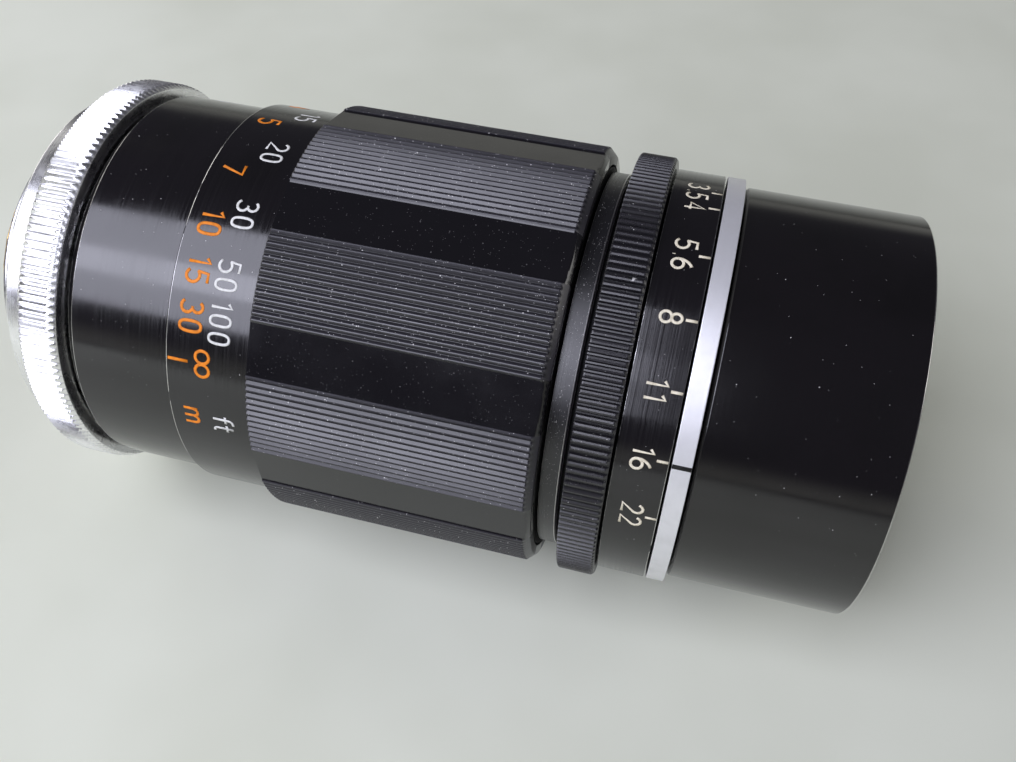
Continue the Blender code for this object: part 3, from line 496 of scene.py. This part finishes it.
def ring_black():
    """The aperture ring: satin ridges with painted shade in the grooves, and one nick down to the metal
    beside a pit in painted shade.
    """
    made = black_finish("ring_black", (0.016, 0.0145, 0.019), 0.27, 0.5, 1.2)
    tree = made.tree
    base = made.shader.inputs["Base Color"].links[0].from_socket
    # Painted shade: the ridges' grooves are darkened towards black in colour.
    grime_and_groove_shade = maths(tree, "MULTIPLY", attribute(tree, "groove"), 0.8)
    nick_x, _, _, radius = span("aperture_ring")
    nick = lens_point(nick_x + 3.2 * MM, radius, radians(20.8))

    def near(place, reach):
        away = add(tree, "VectorMath", {"operation": "DISTANCE"})
        plug(tree, away.inputs[0], made.place)
        plug(tree, away.inputs[1], place)
        edge = maths(tree, "MULTIPLY", made.cloud(2.0, 5.0), 1.1 * MM)
        ragged = maths(tree, "ADD", away.outputs["Value"], edge)
        return rise(tree, ragged, reach + 0.12 * MM, reach)

    base = blend(tree, grime_and_groove_shade, base, paint((0.003, 0.003, 0.0035)))
    base = blend(tree, near(nick, 0.85 * MM), base, paint((0.5, 0.49, 0.48)))
    # Painted shade: a black patch over most of the nick stands for the shade inside its pit.
    pit_painted_shade = near(nick - Vector((0.35 * MM, 0, 0)), 0.8 * MM)
    made.colour(blend(tree, pit_painted_shade, base, paint((0.004, 0.004, 0.004))))
    return made.material


def matt_black():
    """Anti-reflection black inside the barrels, with its fine rings."""
    made = Surface("matt_black", 0.62, specular=0.3)
    tree = made.tree
    turning = made.turning(4.0)
    patch = rise(tree, made.cloud(0.5, 4.0), 0.4, 0.7)
    made.colour(blend(tree, patch, paint((0.008, 0.008, 0.009)), paint((0.014, 0.013, 0.013))))
    made.set("Roughness", rise(tree, turning, 0.3, 0.7, 0.72, 0.5))
    made.bump(turning, 0.012 * MM)
    return made.material


def metal(name, colour, dull, roughness, lines, grime_and_groove_shade, per_mm=9.0, sheen=1.0):
    """Bare or plated metal with lathe lines, stains and dirt in its grooves; a blasted one has less sheen."""
    made = Surface(name, roughness, metallic=1.0)
    tree = made.tree
    turning = made.turning(per_mm)
    stain = made.cloud(0.35, 5.0)
    groove = attribute(tree, "groove")
    caught = maths(tree, "ADD", groove, maths(tree, "MULTIPLY", stain, 0.5))
    dirt = maths(tree, "MULTIPLY", rise(tree, caught, 0.85, 1.35), grime_and_groove_shade)
    base = blend(tree, rise(tree, stain, 0.4, 0.75, 0.8), paint(colour), paint(dull))
    made.colour(blend(tree, dirt, base, paint((0.03, 0.026, 0.022))))
    made.set("Metallic", maths(tree, "SUBTRACT", sheen, maths(tree, "MULTIPLY", dirt, 0.8 * sheen)))
    rough = rise(tree, stain, 0.3, 0.8, roughness + 0.1, roughness - 0.03)
    rough = maths(tree, "ADD", rough, maths(tree, "MULTIPLY", dirt, 0.4))
    ringed = maths(tree, "MULTIPLY", maths(tree, "SUBTRACT", turning, 0.5), 0.2)
    made.set("Roughness", maths(tree, "ADD", rough, ringed))
    made.bump(turning, 0.004 * MM * lines)
    return made.material


def chrome():
    return metal("satin_chrome", (0.88, 0.88, 0.89), (0.8, 0.8, 0.79), 0.26, 1.0, 0.6)


def aluminium():
    return metal("turned_aluminium", (0.8, 0.8, 0.82), (0.72, 0.72, 0.73), 0.4, 2.0, 0.4, sheen=0.55)


def brass():
    return metal("oiled_brass", (0.72, 0.52, 0.22), (0.4, 0.27, 0.12), 0.27, 1.2, 0.6)


def steel():
    return metal("steel", (0.6, 0.59, 0.58), (0.4, 0.39, 0.38), 0.28, 0.6, 0.5)


def blued_steel():
    return metal("blued_steel", (0.055, 0.06, 0.085), (0.035, 0.035, 0.045), 0.34, 0.3, 0.3, 3.0)


def figure_paint(name, colour, shade):
    """Paint rubbed into engraved figures, a little uneven and dirty."""
    made = Surface(name, 0.55, specular=0.3)
    tree = made.tree
    patch = made.cloud(1.6, 5.0)
    made.colour(blend(tree, rise(tree, patch, 0.42, 0.7), paint(colour), paint(shade)))
    made.set("Roughness", rise(tree, patch, 0.3, 0.8, 0.7, 0.45))
    made.bump(patch, 0.01 * MM)
    return made.material


def coated_glass(name, thickness, ior=1.6):
    """Clear glass with one thin coat, which colours its reflection, and a faint film of haze."""
    made = Surface(name, 0.0)
    tree = made.tree
    made.shader.inputs["Base Color"].default_value = (0.985, 0.99, 0.985, 1.0)
    made.shader.inputs["Transmission Weight"].default_value = 1.0
    made.shader.inputs["IOR"].default_value = ior
    made.shader.inputs["Thin Film Thickness"].default_value = thickness
    made.shader.inputs["Thin Film IOR"].default_value = 1.38
    made.set("Roughness", rise(tree, made.cloud(0.25, 6.0), 0.55, 0.85, 0.06, 0.0))
    return made.material


def floor_paint():
    """A plain pale surface with the slightest mottling."""
    made = Surface("pale_floor", 0.75, specular=0.2)
    tree = made.tree
    patch = noise(tree, made.place, 18.0, 3.0)
    mottling = rise(tree, patch, 0.3, 0.7)
    made.colour(blend(tree, mottling, paint((0.66, 0.68, 0.56)), paint((0.73, 0.75, 0.63))))
    made.set("Roughness", rise(tree, patch, 0.3, 0.7, 0.8, 0.7))
    return made.material


GLOSS = gloss_black()
SMOOTH_GLOSS = smooth_gloss_black()
SATIN = satin_black()
GRIP = grip_black()
RING = ring_black()
MATT = matt_black()
CHROME = chrome()
ALUMINIUM = aluminium()
BRASS = brass()
STEEL = steel()
BLUED = blued_steel()
WHITE = figure_paint("white_figures", (0.78, 0.78, 0.75), (0.6, 0.6, 0.57))
ORANGE = figure_paint("orange_figures", (0.85, 0.25, 0.012), (0.62, 0.18, 0.012))
CREAM = figure_paint("cream_figures", (0.82, 0.76, 0.6), (0.62, 0.56, 0.42))
BLACK_MARK = figure_paint("black_mark", (0.01, 0.01, 0.01), (0.02, 0.02, 0.02))
GLASS = coated_glass("coated_glass", 118.0)
INNER_GLASS = coated_glass("inner_glass", 135.0, 1.62)


# Pieces of the mount


def toothed(count, profile):
    """Columns for count teeth; profile is (share of the pitch, sink)."""
    return [(2 * pi * (i + share) / count, sink, 1.0) for i in range(count) for share, sink in profile]


def mount_pieces():
    x0, _, bore, _ = span("mount_flange")
    thread_r, spigot_bore, spigot_r, flange_r = (bore + wall * MM for wall in (1.6, 3.4, 5.4, 6.4))
    flange_front = FLANGE_X + FLANGE_THICKNESS
    spigot_front = span("outer_helicoid")[0] - 0.3 * MM
    root = thread_r - MOUNT_THREAD_DEPTH
    outline = [
        (flange_front, spigot_r, 0.0),
        (spigot_front, spigot_r),
        (spigot_front, spigot_bore, 0.0),
        (flange_front, spigot_bore, 0.0),
        (flange_front, bore, 0.0),
        (x0, bore),
        (x0, root),
        *helix(x0 + 0.35 * MM, FLANGE_X - 0.6 * MM, thread_r, MOUNT_THREAD_DEPTH, MOUNT_THREAD_PITCH),
        (FLANGE_X - 0.5 * MM, root, 0.0),
        (FLANGE_X, root, 0.0),
        (FLANGE_X, flange_r - 0.3 * MM),
        (FLANGE_X + 0.3 * MM, flange_r),
        (flange_front, flange_r),
    ]
    turned("mount_flange_fine", rounded(outline), "mount", CHROME)
    x0, x1, bore, radius = span("mount_grip_ring")
    outline = ring_outline(x0, x1, bore, radius, (0.3, 0.3), (1.1, 0.55), steps=5)
    depth = MOUNT_TOOTH_DEPTH
    columns = toothed(MOUNT_TEETH, ((0.0, depth), (0.25, depth / 2), (0.5, 0.0), (0.75, depth / 2)))
    turned("mount_grip_ring_fine", outline, "mount", CHROME, columns, radius)
    # The groove at its rear end is not in the CAD barrel.
    x0, x1, bore, radius = span("fixed_barrel")
    groove_front, groove_r = FLANGE_X + 10.15 * MM, radius - 1.15 * MM
    outline = [
        (x1, bore, 0.0),
        (x0, bore, 0.0),
        (x0, groove_r),
        (groove_front, groove_r, 0.0),
        (groove_front, radius - 0.2 * MM),
        (groove_front + 0.2 * MM, radius),
        (x1, radius),
    ]
    turned("fixed_barrel_fine", rounded(outline), "mount", GLOSS)


# Pieces of the focusing head


def grip_columns():
    """Ten lands of narrow ribs with V-shaped grooves, and a smooth flat between each two lands."""
    radius, middle = span("focus_grip")[3], valley_radius()
    rib = LAND_ANGLE / (RIBS_PER_LAND - 1 + RIB_TOP)
    profile = ((0.0, 0.0), (RIB_TOP, 0.0), (0.55, RIB_DEPTH), (0.6, RIB_DEPTH))
    half = 180 / LAND_COUNT - LAND_ANGLE / 2 - FLANK_ANGLE
    columns = []
    for land in range(LAND_COUNT):
        start = land * 360 / LAND_COUNT - LAND_ANGLE / 2
        for i in range(RIBS_PER_LAND):
            shown = [row for row in profile if i < RIBS_PER_LAND - 1 or not row[1]]
            columns += [(start + (i + share) * rib, sink, 1.0) for share, sink in shown]
        for i in range(11):
            off = half * (i / 5 - 1)
            sink = radius - middle / cos(radians(off))
            columns.append((start + LAND_ANGLE + FLANK_ANGLE + half + off, sink, 0.0))
    return [(radians(angle), sink, mark) for angle, sink, mark in columns]


def valley_radius():
    """Half way between two lands the CAD grip has its valley."""
    places = [v.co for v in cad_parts["focus_grip"].data.vertices]
    valley_angle = pi / LAND_COUNT
    near = [p for p in places if abs(abs(atan2(p.y, p.z - AXIS_Z)) - valley_angle) < radians(6)]
    radii = [hypot(p.y, p.z - AXIS_Z) for p in near]
    low, high = span("focus_grip")[2:]
    return min(r for r in radii if low + 0.2 * MM < r < high)


def head_pieces():
    x0, x1, bore, radius = span("distance_ring")
    outline = ring_outline(x0, x1, bore, radius, (0.15, 0.15))
    turned("distance_ring_fine", outline, "head", GLOSS)
    x0, x1, bore, radius = span("focus_grip")
    outline = ring_outline(x0, x1, bore, radius, (0.12, 0.12), (0.9, 0.9), wear=0.0, steps=5)
    turned("focus_grip_fine", outline, "head", GRIP, grip_columns(), radius)
    x0, x1, bore, radius = span("head_collar")
    outline = ring_outline(x0, x1, bore, radius, front=(0.25, 0.25))
    turned("head_collar_fine", outline, "head", SATIN)
    x0, x1, bore, radius = span("aperture_index_ring")
    turned("aperture_index_ring_fine", ring_outline(x0, x1, bore, radius), "head", ALUMINIUM)
    front_barrel()


def front_barrel():
    x0, x1, shoulder, radius = span("front_barrel")
    seat = span("aperture_index_ring")[2]
    shoulder_rear = span("lens_barrel")[1] + 0.3 * MM
    shoulder_front = shoulder_rear + 2.0 * MM
    mouth = seat - 0.1 * MM
    thread_rear = x1 - 4.5 * MM
    ends = (thread_rear + 0.1 * MM, x1 - 0.7 * MM)
    outline = [
        (x0, seat, 0.0),
        (shoulder_rear, seat, 0.0),
        (shoulder_rear, shoulder, 0.0),
        (shoulder_front - 0.4 * MM, shoulder, 0.0),
        (shoulder_front, shoulder + 0.4 * MM, 0.0),
        (shoulder_front, seat, 0.0),
        (thread_rear, seat, 0.0),
        *helix(*ends, mouth, FILTER_THREAD_DEPTH, FILTER_THREAD_PITCH, inward=True),
        (x1 - 0.6 * MM, seat, 0.0),
        (x1 - 0.3 * MM, seat, 0.0),
        (x1, seat + 0.35 * MM),
        (x1, radius - 0.12 * MM),
        (x1 - 0.12 * MM, radius),
        (x0 + 0.3 * MM, radius, 0.3),
        (x0, radius - 0.3 * MM, 0.3),
    ]
    turned("front_barrel_fine", rounded(outline), "head", SMOOTH_GLOSS)


# Pieces that turn with the aperture


def aperture_pieces():
    x0, x1, bore, radius = span("aperture_ring")
    outline = ring_outline(x0, x1, bore, radius, (0.15, 0.15), (0.35, 0.35), wear=0.0, steps=4)
    depth, round_off = RING_RIDGE_DEPTH, 0.06 * MM
    profile = ((0.0, 0.0), (0.22, round_off), (0.4, depth), (0.6, depth), (0.78, round_off))
    columns = toothed(RING_RIDGES, profile)
    turned("aperture_ring_fine", outline, "aperture", RING, columns, radius)
    x0, x1, bore, radius = span("aperture_scale_ring")
    turned("aperture_scale_ring_fine", ring_outline(x0, x1, bore, radius), "aperture", GLOSS)


# Glass, cells and what shows through the openings


def lens_shape(name, body, material):
    """A smooth lens on the CAD one's edge and apexes."""
    points = [(v.co.x, hypot(v.co.y, v.co.z - AXIS_Z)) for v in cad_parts[name].data.vertices]
    radius = max(r for _, r in points)
    edge = [x for x, r in points if r > 0.99 * radius]
    middle = [x for x, r in points if r < 0.05 * radius]
    outline = []
    for apex, rim in ((min(middle), min(edge)), (max(middle), max(edge))):
        bulge = apex - rim
        curve = (radius**2 + bulge**2) / (2 * bulge) if abs(bulge) > 0.01 * MM else None
        face = []
        for i in range(LENS_STEPS + 1):
            r = radius * i / LENS_STEPS
            sag = curve - (1 if curve > 0 else -1) * sqrt(curve**2 - r**2) if curve else 0.0
            face.append((apex - sag, r))
        outline.append(face)
    rear, front = outline
    mesh = bpy.data.meshes.new(name + "_fine")
    shape = bmesh.new()
    loop = rear + front[::-1]
    poles = {
        0: shape.verts.new(lens_point(rear[0][0], 0, 0)),
        len(loop) - 1: shape.verts.new(lens_point(front[0][0], 0, 0)),
    }
    rings = []
    for c in range(LENS_CIRCLE):
        angle = 2 * pi * c / LENS_CIRCLE
        rings.append(
            [poles.get(i) or shape.verts.new(lens_point(x, r, angle)) for i, (x, r) in enumerate(loop)]
        )
    for here, following in zip(rings, rings[1:] + rings[:1]):
        for i in range(len(loop) - 1):
            corners = [here[i], here[i + 1], following[i + 1], following[i]]
            shape.faces.new(list(dict.fromkeys(corners)))
    bmesh.ops.recalc_face_normals(shape, faces=shape.faces)
    shape.to_mesh(mesh)
    shape.free()
    mesh.shade_smooth()
    mesh.set_sharp_from_angle(angle=radians(SHARP))
    return new_piece(name + "_fine", mesh, body, material, (name,))


def optics():
    for name, material in (
        ("front_element", GLASS),
        ("doublet_crown", INNER_GLASS),
        ("doublet_flint", INNER_GLASS),
        ("rear_element", GLASS),
    ):
        lens_shape(name, "head", material)
    x0, x1, lip, radius = span("front_cell")
    bore = radius - 1.4 * MM
    outline = [
        (x1, bore, 0.3),
        (x0 + 0.6 * MM, bore, 0.0),
        (x0 + 0.6 * MM, lip, 0.0),
        (x0, lip, 0.0),
        (x0, radius, 0.0),
        (x1, radius, 0.3),
    ]
    turned("front_cell_fine", rounded(outline), "head", MATT)
    x0, x1, bore, radius = span("front_retaining_ring")
    turned("front_retaining_ring_fine", ribbed_bore(x0, x1, bore, radius), "head", MATT)
    x0, x1, bore, radius = span("rear_retaining_ring")
    turned("rear_retaining_ring_fine", ring_outline(x0, x1, bore, radius), "head", MATT)
    rear_cell()


def ribbed_bore(x0, x1, bore, radius):
    """A ring whose face steps down to its bore in fine rings, which kill reflections."""
    steps = 3
    corners = [(x0, bore, 0.0), (x0, radius, 0.0), (x1, radius, 0.2)]
    run, fall = (radius - bore - 0.3 * MM) / steps, 0.25 * MM
    for i in range(steps):
        r = radius - 0.3 * MM - i * run
        corners += [(x1 - i * fall, r, 0.2), (x1 - (i + 1) * fall, r, 0.0)]
    corners.append((x1 - steps * fall, bore, 0.2))
    return rounded(corners, 0.03 * MM)


def rear_cell():
    x0, x1, bore, radius = span("rear_cell")
    tube_bore = span("rear_element")[3] + 0.3 * MM
    tube_r = tube_bore + 1.2 * MM
    glass_front = span("rear_element")[1]
    flange_rear = x0 + 14.0 * MM
    wall = 1.5 * MM
    outline = [
        (x1, radius, 0.0),
        (flange_rear, radius, 0.0),
        (flange_rear, tube_r, 0.0),
        (x0, tube_r, 0.3),
        (x0, tube_bore, 0.3),
        (glass_front + 0.6 * MM, tube_bore, 0.0),
        (glass_front + 0.6 * MM, bore, 0.0),
        (flange_rear + wall, bore, 0.0),
        (flange_rear + wall, radius - wall, 0.0),
        (x1, radius - wall, 0.0),
    ]
    turned("rear_cell_fine", rounded(outline), "head", MATT)


def rangefinder_pieces():
    """The brass pieces keep their CAD shapes; fine bevels and metal are added."""
    rings = ("rf_cam_ring", "rf_drive_sleeve", "inner_helicoid", "outer_helicoid", "sleeve_retaining_ring")
    for name in rings:
        carried(name, BRASS, 0.12 * MM)


def carried(name, material, edge=0.0):
    """A CAD node that stays, with its own procedural material and, where it shows, bevelled edges."""
    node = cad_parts[name]
    node.data.materials.clear()
    node.data.materials.append(material)
    if edge:
        weld = node.modifiers.new("weld", "WELD")
        weld.merge_threshold = 1e-6
        bevel = node.modifiers.new("edges", "BEVEL")
        bevel.width = edge
        bevel.segments = 2
        bevel.limit_method = "ANGLE"
        bevel.angle_limit = radians(40)


def screws_and_keys():
    for name in ("barrel_screw_1", "barrel_screw_2", "barrel_screw_3", "grip_screw_1", "grip_screw_2"):
        screw_head(name)
    for name in ("focus_stop_pin", "iris_drive_screw", "click_ball", "click_spring"):
        carried(name, STEEL)
    for name in ("rf_guide_key_1", "rf_guide_key_2", "drive_key_1", "drive_key_2"):
        carried(name, STEEL)
    for name in ("iris_base_plate", "iris_drive_plate", "iris_carrier", "element_spacer", "lens_barrel"):
        carried(name, MATT)
    for number in range(1, 9):
        carried(f"iris_blade_{number}", BLUED)


def screw_head(name):
    """A slotted cheese-head set screw along a radius of the lens, as long as the CAD one."""
    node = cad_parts[name]
    places = [v.co for v in node.data.vertices]
    centre = sum(places, Vector()) / len(places)
    out = Vector((0, centre.y, centre.z - AXIS_Z)).normalized()
    heights = [(p - Vector((centre.x, 0, AXIS_Z))).dot(out) for p in places]
    foot, top = min(heights), max(heights)
    radius = max(((p - centre) - out * (p - centre).dot(out)).length for p in places)
    columns, slot_half, slot_depth = SCREW_CIRCLE, 0.14 * MM, 0.35 * MM
    rows = [(foot, radius), (top - 0.12 * MM, radius), (top, radius - 0.12 * MM)]
    mesh = bpy.data.meshes.new(name + "_fine")
    shape = bmesh.new()
    side = out.cross(Vector((1, 0, 0)))

    def corner(height, along, across):
        middle = Vector((centre.x + along, 0, AXIS_Z))
        return shape.verts.new(middle + out * height + side * across)

    rings = [
        [corner(h, r * cos(2 * pi * i / columns), r * sin(2 * pi * i / columns)) for i in range(columns)]
        for h, r in rows
    ]
    for low, high in zip(rings, rings[1:]):
        for i in range(columns):
            k = (i + 1) % columns
            shape.faces.new((low[i], low[k], high[k], high[i]))
    shape.faces.new(rings[0])
    shape.faces.new(rings[-1])
    bmesh.ops.recalc_face_normals(shape, faces=shape.faces)
    shape.to_mesh(mesh)
    cutter_shape = bmesh.new()
    bmesh.ops.create_cube(cutter_shape, size=1.0)
    for vert in cutter_shape.verts:
        along, across, up = vert.co * 2
        vert.co = (
            Vector((centre.x, 0, AXIS_Z))
            + out * (top + up * slot_depth)
            + Vector((1, 0, 0)) * along * 2 * radius
            + side * across * slot_half
        )
    bmesh.ops.recalc_face_normals(cutter_shape, faces=cutter_shape.faces)
    cutter_mesh = bpy.data.meshes.new(name + "_slot")
    cutter_shape.to_mesh(cutter_mesh)
    shape.free()
    cutter_shape.free()
    holder = bpy.data.objects.new(name + "_plain", mesh)
    cutter = bpy.data.objects.new(name + "_slot", cutter_mesh)
    for obj in (holder, cutter):
        bpy.context.scene.collection.objects.link(obj)
    slot = holder.modifiers.new("slot", "BOOLEAN")
    slot.operation = "DIFFERENCE"
    slot.object = cutter
    bpy.context.view_layer.update()
    cut = bpy.data.meshes.new_from_object(holder.evaluated_get(bpy.context.evaluated_depsgraph_get()))
    bpy.data.objects.remove(holder)
    bpy.data.objects.remove(cutter)
    cut.materials.clear()
    cut.shade_smooth()
    cut.set_sharp_from_angle(angle=radians(SHARP))
    body = "mount" if name.startswith("barrel") else "head"
    new_piece(name + "_fine", cut, body, STEEL, (name,))


# Scales


def extension(distance):
    """How far the head moves forward to focus at a distance, in mm."""
    free = distance - 2 * FOCAL_LENGTH
    return (free - sqrt(free**2 - 4 * FOCAL_LENGTH**2)) / 2


def distance_angle(distance):
    return INFINITY_ANGLE - TURN_PER_MM * extension(distance)


def tick(length, slant=0.0):
    return [[(0.0, 0.0), (slant, length)]]


INFINITY = [arc(-0.3, 0.5, 0.28, 0.3, 0, 360, 18), arc(0.3, 0.5, 0.28, 0.3, 180, 540, 18)]


def distance_scale():
    rear = span("distance_ring")[0]
    metres_x, feet_x, height = rear + 1.65 * MM, rear + 5.45 * MM, 2.9 * MM
    metres = [(text, distance_angle(1000 * float(text)), metres_x, height) for text in METRES]
    metres += [("m", UNIT_ANGLE, metres_x + 0.2 * MM, height)]
    metres += [(tick(0.9), INFINITY_ANGLE, rear + 0.35 * MM, height)]
    metres += [(INFINITY, INFINITY_ANGLE, rear + 3.35 * MM, height)]
    feet = [(text, distance_angle(FOOT * float(text)), feet_x, height * 0.95) for text in FEET]
    feet += [("ft", UNIT_ANGLE, feet_x + 0.2 * MM, height * 0.95)]
    figures("distance_figures_metres", metres, "distance_ring", "head", ORANGE, 0.42 * MM)
    figures("distance_figures_feet", feet, "distance_ring", "head", WHITE, 0.36 * MM)


def aperture_scale():
    rear = span("aperture_scale_ring")[0]
    words = []
    for text, angle in zip(STOPS, STOP_ANGLES):
        words.append((text, angle, rear + 1.75 * MM, 2.55 * MM))
        words.append((tick(1.0), angle, rear + 4.6 * MM, 1.3 * MM))
    figures("aperture_figures", words, "aperture_scale_ring", "aperture", CREAM, 0.36 * MM)
    index_rear, index_front, _, _ = span("aperture_index_ring")
    width = 0.55 * MM
    line = [(tick(1.0), INFINITY_ANGLE, index_rear + 0.02 * MM, index_front - index_rear - 0.04 * MM)]
    figures("aperture_index_mark", line, "aperture_index_ring", "head", BLACK_MARK, width)


def focus_index():
    """The focus index and its depth-of-field lines on the fixed barrel, just behind the distance ring."""
    front = FLANGE_X + 17.6 * MM
    words = [(tick(1.0), FOCUS_INDEX_ANGLE, front - 2.6 * MM, 2.6 * MM)]
    for stop in DEPTH_STOPS:
        for side in (-1, 1):
            angle = FOCUS_INDEX_ANGLE + side * stop * DEPTH_BLUR * TURN_PER_MM
            words.append((tick(1.0), angle, front - 1.4 * MM, 1.4 * MM))
            if stop > 4:
                words.append((str(stop), angle, front - 3.6 * MM, 1.7 * MM))
    figures("focus_index_figures", words, "fixed_barrel", "mount", WHITE, 0.22 * MM)


# Studio


def towards(axis, near, across):
    """A direction from its parts along the axis, towards the camera and across."""
    near_way = Vector((0, -sin(CAMERA_ANGLE), cos(CAMERA_ANGLE)))
    across_way = Vector((0, cos(CAMERA_ANGLE), sin(CAMERA_ANGLE)))
    return Vector((1, 0, 0)) * axis + near_way * near + across_way * across


def camera():
    data = bpy.data.cameras.new("camera")
    data.lens = CAMERA_LENS
    data.sensor_width = 36.0
    data.clip_start, data.clip_end = 0.01, 20.0
    eye = bpy.data.objects.new("camera", data)
    bpy.context.scene.collection.objects.link(eye)
    forward = towards(*CAMERA_FORWARD).normalized()
    right = towards(*CAMERA_RIGHT)
    right = (right - forward * right.dot(forward)).normalized()
    up = right.cross(forward)
    turn = Matrix((right, up, -forward)).transposed()
    place = Vector((CAMERA_X, 0, AXIS_Z)) + towards(0, CAMERA_DISTANCE, 0)
    eye.matrix_world = Matrix.Translation(place) @ turn.to_4x4()
    bpy.context.scene.camera = eye


def softbox(name, way, distance, shift, length, height, radiance, colour):
    """A rectangular light that faces the lens from a direction, moved along the lens by shift."""
    data = bpy.data.lights.new(name, "AREA")
    data.shape = "RECTANGLE"
    data.size, data.size_y = length, height
    data.energy = radiance * pi * length * height
    data.color = colour
    light = bpy.data.objects.new(name, data)
    bpy.context.scene.collection.objects.link(light)
    way = way.normalized()
    side = Vector((0, 0, 1)).cross(way).normalized()
    turn = Matrix((side, way.cross(side), way)).transposed()
    place = Vector((shift, 0, AXIS_Z)) + way * distance
    light.matrix_world = Matrix.Translation(place) @ turn.to_4x4()


def backdrop():
    """A dim room round the table, paler towards the horizon."""
    world = bpy.data.worlds.new("studio")
    world.use_nodes = True
    tree = world.node_tree
    height = add(tree, "SeparateXYZ", Vector=add(tree, "TexCoord").outputs["Generated"]).outputs["Z"]
    colour = blend(tree, rise(tree, height, 0.2, 0.0), paint((0.07, 0.07, 0.08)), paint((0.42, 0.42, 0.39)))
    plug(tree, tree.nodes["Background"].inputs["Color"], colour)
    bpy.context.scene.world = world


def studio():
    panes = (("window", 4.0, 0.7, 0.76, 4.4), ("bright_pane", 1.0, 0.69, 0.17, 2.8))
    for name, angle, distance, height, radiance in panes:
        way = towards(0, cos(radians(angle)), sin(radians(angle)))
        softbox(name, way, distance, -0.4, 0.78, height, radiance, (0.84, 0.85, 1.0))
    softbox("front_fill", Vector((0.9, 0.1, 0.42)), 0.9, 0.0, 0.5, 0.4, 2.2, (1.0, 0.98, 0.95))
    softbox("rear_fill", Vector((-0.9, 0.4, 0.42)), 0.9, 0.0, 0.5, 0.4, 2.2, (1.0, 0.98, 0.95))
    backdrop()
    mesh = bpy.data.meshes.new("floor")
    shape = bmesh.new()
    bmesh.ops.create_grid(shape, x_segments=8, y_segments=8, size=1.5)
    shape.to_mesh(mesh)
    shape.free()
    mesh.materials.append(floor_paint())
    floor = bpy.data.objects.new("floor", mesh)
    bpy.context.scene.collection.objects.link(floor)
    bpy.context.scene.view_settings.view_transform = "Standard"


mount_pieces()
head_pieces()
aperture_pieces()
optics()
rangefinder_pieces()
screws_and_keys()
distance_scale()
aperture_scale()
focus_index()
camera()
studio()
